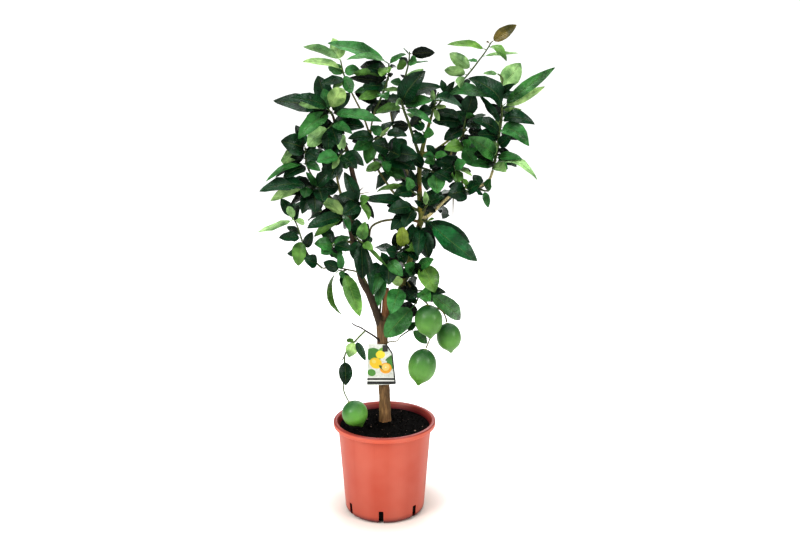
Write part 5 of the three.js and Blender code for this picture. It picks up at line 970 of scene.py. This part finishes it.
        (1, -178, 821, 137, 36, 33, 0.1, "D"), (1, -130, 840, 176, 34, 40, 0.1, "D"),
        (0.6, -70, 790, 160, 36.5, 30, 0.12, "D"), (0.4, -150, 760, 160, 36.5, -40, 0.1, "D"),
        (0.3, -90, 720, 176, 34, 40, 0.1, "D"), (0.8, -102, 836, 102, 32, 42, 0.1, "D"),
        (0.2, -160, 750, 90, 32, 40, 0.1, "D"),
    ]),
    "back_middle_low": ([(57, 718, 38), (30, 728, 66), (12, 742, 86)], (2.3, 1.5), [
        (1, -22, 760, 110, 36.5, 30, 0.1, "D"), (1, 24, 740, 150, 36.5, 40, 0.1, "D"),
        (0.6, 50, 760, 110, 34, 40, 0.1, "D"), (0.4, 50, 690, 110, 36.5, -40, 0.1, "D"),
        (0.7, -16, 700, 120, 34, 40, 0.1, "D"),
    ]),
    "back_middle_high": ([(14, 858, 108), (6, 876, 112), (2, 892, 112)], (2, 1.5), [
        (1, -34, 916, 130, 34, 30, 0.1, "D"), (1, 8, 920, 168, 32, 40, 0.1, "D"),
        (0.5, 48, 872, 140, 34, 40, 0.12, "D"), (0.3, -36, 850, 120, 36.5, -30, 0.1, "D"),
        (0.2, 20, 838, 176, 32, 40, 0.1, "D"),
    ]),
    "back_right_low": ([(86, 664, 93), (110, 668, 112), (134, 680, 122)], (2.3, 1.5), [
        (1, 182, 692, 130, 36.5, 30, 0.1, "D"), (0.8, 140, 700, 180, 36.5, 40, 0.1, "D"),
        (0.6, 120, 640, 150, 34, -30, 0.1, "D"), (0.4, 96, 700, 130, 36.5, 40, 0.1, "D"),
        (0.3, 84, 630, 130, 34, 40, 0.1, "D"),
    ]),
    "back_right_high": ([(140, 782, 134), (152, 800, 140), (166, 820, 142)], (2.4, 1.5), [
        (1, 206, 850, 150, 36.5, 30, 0.1, "D"), (1, 168, 866, 180, 34, 40, 0.1, "D"),
        (0.6, 130, 830, 160, 36.5, 40, 0.1, "D"), (0.4, 190, 790, 160, 36.5, -30, 0.1, "D"),
        (0.2, 120, 750, 176, 34, 40, 0.1, "D"), (0.3, 200, 770, 110, 32, 40, 0.1, "D"),
        (0.8, 140, 850, 90, 32, 50, 0.1, "D"),
    ]),
    "back_low": ([(50, 532, 18), (40, 548, 52), (26, 566, 78)], (2.6, 1.5), [
        (1, -20, 580, 110, 36.5, 30, 0.1, "D"), (1, 24, 560, 140, 36.5, 40, 0.1, "D"),
        (0.6, 70, 560, 110, 34, 40, 0.1, "D"), (0.7, 10, 520, 100, 34, -30, 0.1, "D"),
        (0.4, 80, 520, 90, 32, 40, 0.1, "D"),
    ]),
}
STALK_SHARE = 0.1
STALK_RADIUS = 0.0009
FOLD = (0.14, 0.34)
WAVE = 0.08
WAVES = (1.2, 2.6)
BLADE = 0.0004
MIDRIB_EXTRA = 0.0004
NUDGES = (0, -12, 12, -24, 24, -38, 38, -54, 54)
TIP_MATCH = 0.00015
LEAF_TONES = {
    # upper side and underside of dark, middling, veined, olive, pale, inner, bronzed and yellowing leaves
    "D": ((10, 54, 26), (48, 88, 46)),
    "M": ((56, 114, 56), (100, 140, 76)),
    "V": ((22, 96, 46), (56, 104, 56)),
    "O": ((92, 136, 62), (124, 154, 86)),
    "P": ((150, 190, 122), (168, 204, 140)),
    # the inner leaves are painted almost black: painted shade for the inside of the crown
    "I": ((4, 24, 10), (12, 38, 17)),
    "B": ((104, 92, 44), (124, 116, 66)),
    "Y": ((134, 154, 62), (150, 164, 84)),
    # and of buds, as green as their twig
    "-": ((80, 104, 46), (80, 104, 46)),
}
LIGHT_VARIES, LEAST_LIGHT = 0.09, 0.75
WARMTH_VARIES = 0.05
TWIG_LIGHT = (0.75, 1.15)
VEIN_COUNT = 13
VEIN_LEAN = 0.34
VEIN_STRENGTH = 0.28
MIDRIB_STRENGTH = 0.3
LEAF_RELIEF = 0.0009
TWIG_COLOUR = srgb(78, 96, 46)
# A twig's leaves begin where it comes clear of the thicker wood, found in steps along it.
WOOD_CLEAR = 1.5                        # in millimetres, like the stems' radii
END_CLEAR = 0.0032
CLEAR_STEP, CLEAR_STEPS, CLEAR_AT_LAST = 0.05, 14, 0.7
# Behind each shoot's own leaves hang smaller ones, painted almost black as shade, but not behind the airy
# shoots.
INNER_SHARE = 0.8
INNER_SPREAD = 0.008
INNER_SETBACK = (0.004, 0.03)
INNER_LENGTH = (0.4, 0.8)
INNER_WIDTH = (0.85, 1.05)
INNER_TURN = (40, 85)
INNER_ARCH = 0.08
INNER_PLUMPNESS = 0.6
BACK_FROM = 0.05
AIRY_SHOOTS = (
    "top_right_sprig", "right_top", "top_left", "left_outer", "left_spray_leaves", "low_left", "low_right",
    "veined", "right_foot",
)

bpy.ops.mesh.primitive_grid_add(x_subdivisions=9, y_subdivisions=4, size=1, location=(0.5, 0, 0))
upper = bpy.context.object
settled(upper)
bpy.ops.object.duplicate()
lower = bpy.context.object
edited(lower, flip_normals={})
for sheet in (upper, lower):
    for vertex in sheet.data.vertices:
        x, y, z = vertex.co
        end = x < 0.01 or x > 0.99
        edge = end or abs(y) > 0.49
        layer = 0 if edge or sheet is upper else -1
        vertex.co = (0.5 - 0.5 * math.cos(math.pi * x), 0 if end else y * 2, layer)
for face in lower.data.polygons:
    face.material_index = 1
bpy.ops.mesh.primitive_cylinder_add(
    vertices=5, radius=1, depth=1, location=(-0.5, 0, 0), rotation=(0, math.pi / 2, 0))
stalk = bpy.context.object
settled(stalk)
edited(stalk, bisect={"plane_co": (-0.4, 0, 0), "plane_no": (1, 0, 0)})
for face in stalk.data.polygons:
    face.material_index = 2
leaf_pattern = joined("leaf_pattern", [stalk, lower, upper])
edited(leaf_pattern, remove_doubles={"threshold": 1e-4})
pattern = np.array([vertex.co for vertex in leaf_pattern.data.vertices])
pattern_faces = leaf_pattern.data.polygons
face_kind = np.array([face.material_index for face in pattern_faces for corner in face.loop_indices])
corner_vertex = np.array([index for face in pattern_faces for index in face.vertices])


def leaf_axes(root, tip, turn):
    """The leaf's length, its direction, and the directions out of its upper face and across it."""
    along = tip - root
    length = np.linalg.norm(along)
    along = along / length
    facing = np.array(EYE) - root
    facing = facing - along * (facing @ along)
    facing = facing / np.linalg.norm(facing)
    upwards = np.cross(along, facing)
    if upwards[2] < 0:
        upwards = -upwards
    normal = upwards * math.cos(math.radians(turn)) + facing * math.sin(math.radians(turn))
    return length, along, normal, np.cross(along, normal)


def make_leaf(root, tip, width, turn, arch, tone, draw):
    """A leaf from its root to its tip: the pattern laid along the arched midrib."""
    length, along, normal, across = leaf_axes(root, tip, turn)
    u, w, layer = pattern[:, 0], pattern[:, 1], pattern[:, 2]
    blade = u >= -1e-6
    on_blade = np.clip(u, 0, 1)
    on_stalk = STALK_SHARE * (1.02 + 1.02 * u) - 0.002
    s = np.where(blade, STALK_SHARE + (1 - STALK_SHARE) * on_blade, on_stalk)
    lift = 4 * arch
    middle = root + along * (length * s)[:, None] + normal * (length * lift * s * (1 - s))[:, None]
    upright = normal - along * (lift * (1 - 2 * s))[:, None]
    upright = upright / np.linalg.norm(upright, axis=1)[:, None]
    half = width / 2 * 2.67 * on_blade ** 0.6 * (1 - on_blade) ** 0.85
    waves, start = draw.uniform(*WAVES), draw.random()
    wave = WAVE * width * np.abs(w) ** 3 * np.sin(math.tau * (on_blade * waves + start) + (w > 0))
    rise = draw.uniform(*FOLD) * half * (0.5 * np.abs(w) + 0.5 * w ** 2) + wave * half * 2 / width
    thick = BLADE + MIDRIB_EXTRA * (np.abs(w) < 0.1)
    blade_points = middle + across * (half * w)[:, None] + upright * (rise + layer * thick)[:, None]
    stalk_points = middle + (across * w[:, None] + upright * layer[:, None]) * STALK_RADIUS
    leaf = leaf_pattern.copy()
    leaf.data = leaf_pattern.data.copy()
    bpy.context.collection.objects.link(leaf)
    leaf.data.vertices.foreach_set("co", np.where(blade[:, None], blade_points, stalk_points).ravel())
    light = max(LEAST_LIGHT, draw.gauss(1, LIGHT_VARIES))
    warm = draw.gauss(0, WARMTH_VARIES)
    sides = [np.array(srgb(*colour)) * light * (1 + warm, 1, 1 - warm) for colour in LEAF_TONES[tone]]
    colours = np.ones((len(face_kind), 4))
    colours[:, :3] = np.array([*sides, TWIG_COLOUR])[face_kind]
    leaf.data.color_attributes.new("tone", "FLOAT_COLOR", "CORNER").data.foreach_set("color", colours.ravel())
    spread = np.stack([u, w * 0.5 + 0.5], axis=1)[corner_vertex]
    leaf.data.uv_layers[0].data.foreach_set("uv", spread.ravel())
    return leaf


def along_run(points, share):
    """The place at a share of the way along a run of points."""
    lengths = [np.linalg.norm(b - a) for a, b in zip(points, points[1:])]
    left = share * sum(lengths)
    for (a, b), length in zip(zip(points, points[1:]), lengths):
        if left <= length:
            return a + (b - a) * left / length
        left -= length
    return points[-1]


def clear_of_wood(point):
    for _, rows in STEMS.values():
        for i, (first, second) in enumerate(zip(rows, rows[1:])):
            start, end = sight(*first[:3]), sight(*second[:3])
            run = end - start
            if i == len(rows) - 2:
                end = end + run / np.linalg.norm(run) * END_CLEAR
                run = end - start
            share = min(1, max(0, (point - start) @ run / (run @ run)))
            reach = (max(first[3], second[3]) + WOOD_CLEAR) / 1000
            if np.linalg.norm(point - start - share * run) <= reach:
                return False
    return True


leaf_top = Finish("leaf_top", srgb(40, 90, 36), 0.4, Specular_IOR_Level=0.3)
leaf_under = Finish("leaf_under", srgb(130, 150, 90), 0.62, Specular_IOR_Level=0.2)
for side in (leaf_top, leaf_under):
    tone = side.tone()
    down, over = side.apart(side.node("ShaderNodeUVMap", {}).outputs[0])[:2]
    off_middle = side.maths("ABSOLUTE", side.minus(over, 0.5))
    midrib = side.band(off_middle, 0.012, 0.034, 1, 0)
    vein_steps = side.times(side.minus(down, side.times(off_middle, VEIN_LEAN)), VEIN_COUNT)
    off_vein = side.maths("ABSOLUTE", side.minus(side.maths("FRACT", vein_steps), 0.5))
    veins = side.band(off_vein, 0.40, 0.5)
    mottle = side.noise(95, 4, 0.6)
    side.colour = tone
    side.shade(side.band(mottle, 0.3, 0.7), (0.72, 0.76, 0.7), (1.3, 1.22, 1.25))
    # Large light and dark patches on each leaf are painted sheen and painted shade.
    side.shade(side.band(side.noise(30, 2, 0.6), 0.36, 0.64), (0.36, 0.46, 0.4), (1.52, 1.44, 1.46))
    lit = side.blend(1.0, tone, (1.7, 1.6, 1.6), "MULTIPLY")
    side.cover(side.times(veins, VEIN_STRENGTH), lit)
    side.cover(side.times(midrib, MIDRIB_STRENGTH), side.blend(0.5, lit, srgb(158, 164, 92)))
    side.cover(side.band(side.noise(620, 1), 0.7, 0.76, 0, 0.35), srgb(92, 84, 44))
    relief = side.plus(midrib, side.times(mottle, 2.2))
    side.done(side.plus(side.times(veins, -0.5), relief), LEAF_RELIEF)
leaf_top.set("Roughness", leaf_top.band(leaf_top.noise(45), 0.35, 0.7, 0.2, 0.4))
twig_green = Finish("twig_green", TWIG_COLOUR, 0.6)
lines = twig_green.noise(420, 3, stretch=(1, 1, 0.3))
twig_green.colour = twig_green.tone()
twig_green.shade(lines, (0.5, 0.5, 0.5), (1.5, 1.45, 1.4))
twig_green.done(lines, 0.0004)
leaf_materials = [side.material for side in (leaf_top, leaf_under, twig_green)]
for material in leaf_materials:
    leaf_pattern.data.materials.append(material)

for number, (name, (twig, radii, leaves)) in enumerate(SHOOTS.items()):
    draw = random.Random(100 + number)
    cad = np.array([vertex.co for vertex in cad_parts["shoot_" + name].data.vertices])
    points = [sight(*row) for row in twig]
    steps = (step * CLEAR_STEP for step in range(CLEAR_STEPS))
    first = next((step for step in steps if clear_of_wood(along_run(points, step))), CLEAR_AT_LAST)
    pieces, laid = [], []
    for share, x, z, depth, width, turn, arch, tone_name in leaves:
        root = along_run(points, first + (1 - first) * share)
        tips = [sight(x, z, depth + nudge) for nudge in NUDGES]
        tip = next((t for t in tips if np.linalg.norm(cad - t, axis=1).min() < TIP_MATCH), None)
        if tip is not None:
            pieces.append(make_leaf(root, tip, width / 1000, turn, arch, tone_name, draw))
            laid.append((root, tip, width / 1000))
    inwards = 1 if points[0][1] < BACK_FROM else -1
    for i in range(0 if name in AIRY_SHOOTS else round(INNER_SHARE * len(laid))):
        start, end, width = laid[i % len(laid)]
        root = along_run(points, first + (1 - first) * draw.random())
        shift = np.array([
            draw.gauss(0, INNER_SPREAD), inwards * draw.uniform(*INNER_SETBACK), draw.gauss(0, INNER_SPREAD)])
        tip = root + (end - start) * draw.uniform(*INNER_LENGTH) + shift
        width = min(width, INNER_PLUMPNESS * np.linalg.norm(tip - root)) * draw.uniform(*INNER_WIDTH)
        turn = draw.choice((-1, 1)) * draw.uniform(*INNER_TURN)
        pieces.append(make_leaf(root, tip, width, turn, INNER_ARCH, "I", draw))
    stem = tube("twig", points, np.linspace(radii[0], radii[1], len(points)), 8, 3)
    painted(stem, np.array(TWIG_COLOUR) * draw.uniform(*TWIG_LIGHT))
    stem.data.uv_layers.new(name=leaf_pattern.data.uv_layers[0].name)
    for material in leaf_materials:
        stem.data.materials.append(material)
    for face in stem.data.polygons:
        face.material_index = 2
    shoot = joined("leaves_" + name, [*pieces, stem])
    smoothed(shoot, 80)
    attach(shoot, "root")
    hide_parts("shoot_" + name)
bpy.data.objects.remove(leaf_pattern)

# ---------- lemons ----------
# Four unripe lemons hang on their stalks: firm green fruits with a fine pored skin, a blunt nipple at
# the lower end and a small green calyx at the stalk. Lighter skin shows towards the nipple.
# A lemon is the x, z and depth of its stalk end and its nipple, its diameter, and its lightness: painted
# light and shade over the whole fruit, lighter on the left lemon and a little darker on the front one.
LEMONS = {
    "lemon_front": ((90, 458, -44), (98, 383, -50), 59, 0.92),
    "lemon_right": ((132, 418, -14), (142, 352, -18), 53, 1.0),
    "lemon_low": ((88, 361, -46), (72, 279, -50), 60, 1.0),
    "lemon_left": ((-77, 242, -36), (-49, 184, -42), 56, 1.3),
}
LEMON_OUTLINE = [
    # share of the length from the nipple, share of the radius
    (0, 0), (0, 0.07), (0.03, 0.14), (0.075, 0.24), (0.13, 0.42), (0.21, 0.72), (0.36, 0.94), (0.54, 1.01),
    (0.71, 0.95), (0.85, 0.75), (0.94, 0.47), (0.975, 0.26), (0.985, 0.12), (0.98, 0),
]
LEMON_GREEN = srgb(100, 157, 63)
LEMON_DEEP = srgb(42, 96, 42)
LEMON_PALE = srgb(128, 172, 84)
NIPPLE_SHARE = 0.12
CALYX_GREEN = srgb(132, 150, 66)
LEMON_UNEVEN = 0.012
LEMON_RELIEF = 0.0007
CALYX_RADIUS = 0.005
CALYX_THICKNESS = 0.0022
CALYX_DROOP = 0.0016

peel = Finish("lemon_skin", srgb(78, 160, 62), 0.36, Subsurface_Weight=0.15, Subsurface_Scale=0.004,
              Subsurface_Radius=(0.5, 1.0, 0.25), Coat_Weight=0.15, Coat_Roughness=0.3)
tone = peel.tone()
cloudy = peel.noise(48, 4)
pores = peel.cells(620)["Distance"]
peel.colour = tone
peel.shade(peel.band(cloudy, 0.3, 0.7), (0.82, 0.86, 0.8), (1.14, 1.1, 1.1))
peel.cover(peel.band(pores, 0.0, 0.35, 0.5, 0), peel.blend(1.0, tone, (0.62, 0.72, 0.55), "MULTIPLY"))
peel.cover(peel.band(peel.noise(150, 2), 0.7, 0.78, 0, 0.4), srgb(120, 128, 62))
peel.done(peel.plus(peel.band(pores, 0, 0.5), cloudy), LEMON_RELIEF)

for number, (name, (stalk_end, nipple_end, diameter, light)) in enumerate(LEMONS.items()):
    top, bottom = sight(*stalk_end), sight(*nipple_end)
    length = np.linalg.norm(top - bottom)
    outline = [(out * diameter / 2000, along * length) for along, out in LEMON_OUTLINE]
    lemon = turned(name + "_fruit", outline, 20)
    changed(lemon, "SUBSURF", levels=2)
    tones = []
    for vertex in lemon.data.vertices:
        at = vertex.co
        uneven = 1 + LEMON_UNEVEN * space_noise.noise(at * 60 + Vector((number * 9, 0, 0)))
        vertex.co = (at.x * uneven, at.y * uneven, at.z)
        rise = at.z / length
        deep = min(1, max(0, (rise - 0.4) / 0.5))
        pale = 0.6 * min(1, max(0, (NIPPLE_SHARE - rise) / NIPPLE_SHARE))
        shade = np.array(LEMON_GREEN) * (1 - deep) + np.array(LEMON_DEEP) * deep
        # The lemon's lightness paints light and shade over the whole fruit.
        tones.append(shade * light * (1 - pale) + np.array(LEMON_PALE) * pale)
    painted(lemon, tones)
    lemon.data.materials.append(peel.material)
    bpy.ops.mesh.primitive_circle_add(
        vertices=20, radius=CALYX_RADIUS, fill_type="TRIFAN", location=(0, 0, length * 0.972))
    calyx = bpy.context.object
    settled(calyx)
    edited(calyx, extrude_region_move={"TRANSFORM_OT_translate": {"value": (0, 0, CALYX_THICKNESS)}},
           normals_make_consistent={"inside": False})
    for vertex in calyx.data.vertices:
        lobe = 0.72 + 0.28 * math.cos(5 * math.atan2(vertex.co.y, vertex.co.x))
        vertex.co.x *= lobe
        vertex.co.y *= lobe
        vertex.co.z -= CALYX_DROOP * (math.hypot(vertex.co.x, vertex.co.y) / CALYX_RADIUS) ** 2
    painted(calyx, CALYX_GREEN)
    calyx.data.materials.append(twig_green.material)
    fruit = joined(name + "_fruit", [calyx, lemon])
    upwards = Vector(top - bottom).normalized()
    hang = Vector((0, 0, 1)).rotation_difference(upwards).to_matrix().to_4x4()
    fruit.data.transform(Matrix.Translation(bottom) @ hang)
    smoothed(fruit, 60)
    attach(fruit, "root")
    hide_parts(name)

# ---------- hanging label ----------
# A die-cut plastic card hangs in front of the trunk from a dark strap looped round it.
# Its face is printed with citrus fruit and leaves on white and green, with dark bands at the edges.
TAG_BACK = -0.011
TAG_THICKNESS = 0.001
TAG_EDGE = 0.00018
TAG_CORNERS = [(-37, 283), (25, 286), (18, 356), (6, 374), (-34, 376)]
TAG_ROUNDING = 3
TAG_ROUND_STEPS = 5
LOOP_CENTRE = (-0.004, 0.0035, 0.362)
LOOP_RADIUS = 0.014
STRAP_RADIUS = 0.0012
TAB_SIZE = (0.011, 0.002, 0.014)
TAB_ROUND = 0.0007
INK_DARK = (30, 32, 28)
PRINTED_SHAPES = [
    # centre x and z, half width and height, turn in degrees, colour: greens, fruits, leaves, paler hearts
    (-22, 352, 18, 15, 12, (70, 132, 48)), (-3, 362, 10, 6, -20, (116, 172, 62)),
    (14, 334, 9, 17, 8, (76, 138, 50)), (-27, 312, 9, 8, 20, (82, 146, 54)),
    (-18, 333, 14, 12, 30, (248, 206, 36)), (3, 322, 13, 12, 0, (246, 170, 30)),
    (-8, 352, 10, 9, 0, (252, 222, 58)), (-5, 323, 8, 3.2, 40, (52, 96, 42)),
    (10, 344, 9, 3, -35, (70, 118, 50)), (3, 324, 8.5, 8, 0, (248, 214, 116)),
    (3, 324, 1.6, 1.5, 0, (246, 240, 208)), (-22, 337, 5, 4, 30, (246, 222, 112)),
]
PRINTED_BANDS = [
    # from and to a height, colour
    (0.2860, 0.2925, (28, 30, 26)), (0.2925, 0.2955, (240, 240, 234)),
    (0.2955, 0.3000, (40, 44, 36)), (0.3000, 0.3022, (236, 236, 228)),
]

card_points = []
for i, corner in enumerate(TAG_CORNERS):
    corner = np.array(corner, float)
    before = np.array(TAG_CORNERS[i - 1], float) - corner
    after = np.array(TAG_CORNERS[(i + 1) % len(TAG_CORNERS)], float) - corner
    start = corner + before / np.linalg.norm(before) * TAG_ROUNDING
    end = corner + after / np.linalg.norm(after) * TAG_ROUNDING
    for step in range(TAG_ROUND_STEPS + 1):
        t = step / TAG_ROUND_STEPS
        card_points.append((start * (1 - t) ** 2 + corner * 2 * t * (1 - t) + end * t ** 2) / 1000)
mesh = bpy.data.meshes.new("label")
mesh.from_pydata([(x, TAG_BACK, z) for x, z in card_points], [], [list(range(len(card_points)))])
card = new_piece("label", mesh)
edited(card, extrude_region_move={"TRANSFORM_OT_translate": {"value": (0, -TAG_THICKNESS, 0)}},
       normals_make_consistent={"inside": False}, quads_convert_to_tris={})
changed(card, "BEVEL", width=TAG_EDGE, segments=2, angle_limit=math.radians(50))

print_face = Finish("label_card", (0.8, 0.8, 0.76), 0.42, Coat_Weight=0.2, Coat_Roughness=0.3)
places = print_face.apart(print_face.places())
x_at, z_at = places[0], places[2]
wobble = print_face.noise(260, 3)
print_face.colour = print_face.blend(
    print_face.band(wobble, 0.35, 0.7), srgb(238, 238, 230), srgb(206, 212, 196))
flat = print_face.places((1, 0, 1))
for x, z, half_width, half_height, turn, ink in PRINTED_SHAPES:
    mapped = print_face.node("ShaderNodeMapping", {
        "Vector": flat, "Location": (x / 1000, 0, z / 1000), "Rotation": (0, math.radians(turn), 0),
        "Scale": (half_width / 1000, 1, half_height / 1000)}, vector_type="TEXTURE").outputs[0]
    reach = print_face.plus(print_face.length(mapped), print_face.times(wobble, 0.22))
    print_face.cover(print_face.band(reach, 1.13, 1.05), srgb(*ink))
for low, high, ink in PRINTED_BANDS:
    above, below = print_face.band(z_at, low, low + 0.0002), print_face.band(z_at, high, high - 0.0002)
    print_face.cover(print_face.times(above, below), srgb(*ink))
side_slope = print_face.plus(x_at, print_face.times(z_at, 0.1))
print_face.cover(print_face.band(side_slope, 0.0503, 0.0507), srgb(*INK_DARK))
shoulder = print_face.plus(print_face.times(x_at, 1.5), z_at)
print_face.cover(print_face.band(shoulder, 0.3775, 0.3780), srgb(*INK_DARK))
scratches = print_face.noise(900, 2, stretch=(1, 1, 0.2))
print_face.cover(print_face.band(scratches, 0.66, 0.7, 0, 0.25), srgb(200, 200, 190))
print_face.set("Roughness", print_face.band(wobble, 0.3, 0.7, 0.34, 0.5))
print_face.done(wobble, 0.0002)
card.data.materials.append(print_face.material)

strap = Finish("strap_dark", srgb(40, 40, 36), 0.5)
rough = strap.noise(400, 3)
strap.colour = strap.blend(rough, srgb(26, 26, 24), srgb(70, 70, 62))
strap.done(rough, 0.0003)
bpy.ops.mesh.primitive_torus_add(
    major_radius=LOOP_RADIUS, minor_radius=STRAP_RADIUS, major_segments=40, minor_segments=10,
    location=LOOP_CENTRE)
loop = bpy.context.object
settled(loop)
loop.data.materials.append(strap.material)
bpy.ops.mesh.primitive_cube_add(
    size=1, location=(0.002, TAG_BACK - TAG_THICKNESS - 0.0007, 0.366), scale=TAB_SIZE)
tab = bpy.context.object
settled(tab)
edited(tab, bevel={"offset": TAB_ROUND, "segments": 3, "affect": "EDGES"})
tab.data.materials.append(strap.material)
label = joined("hanging_label", [loop, tab, card])
smoothed(label, 40)
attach(label, "root")
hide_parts("label_tag")
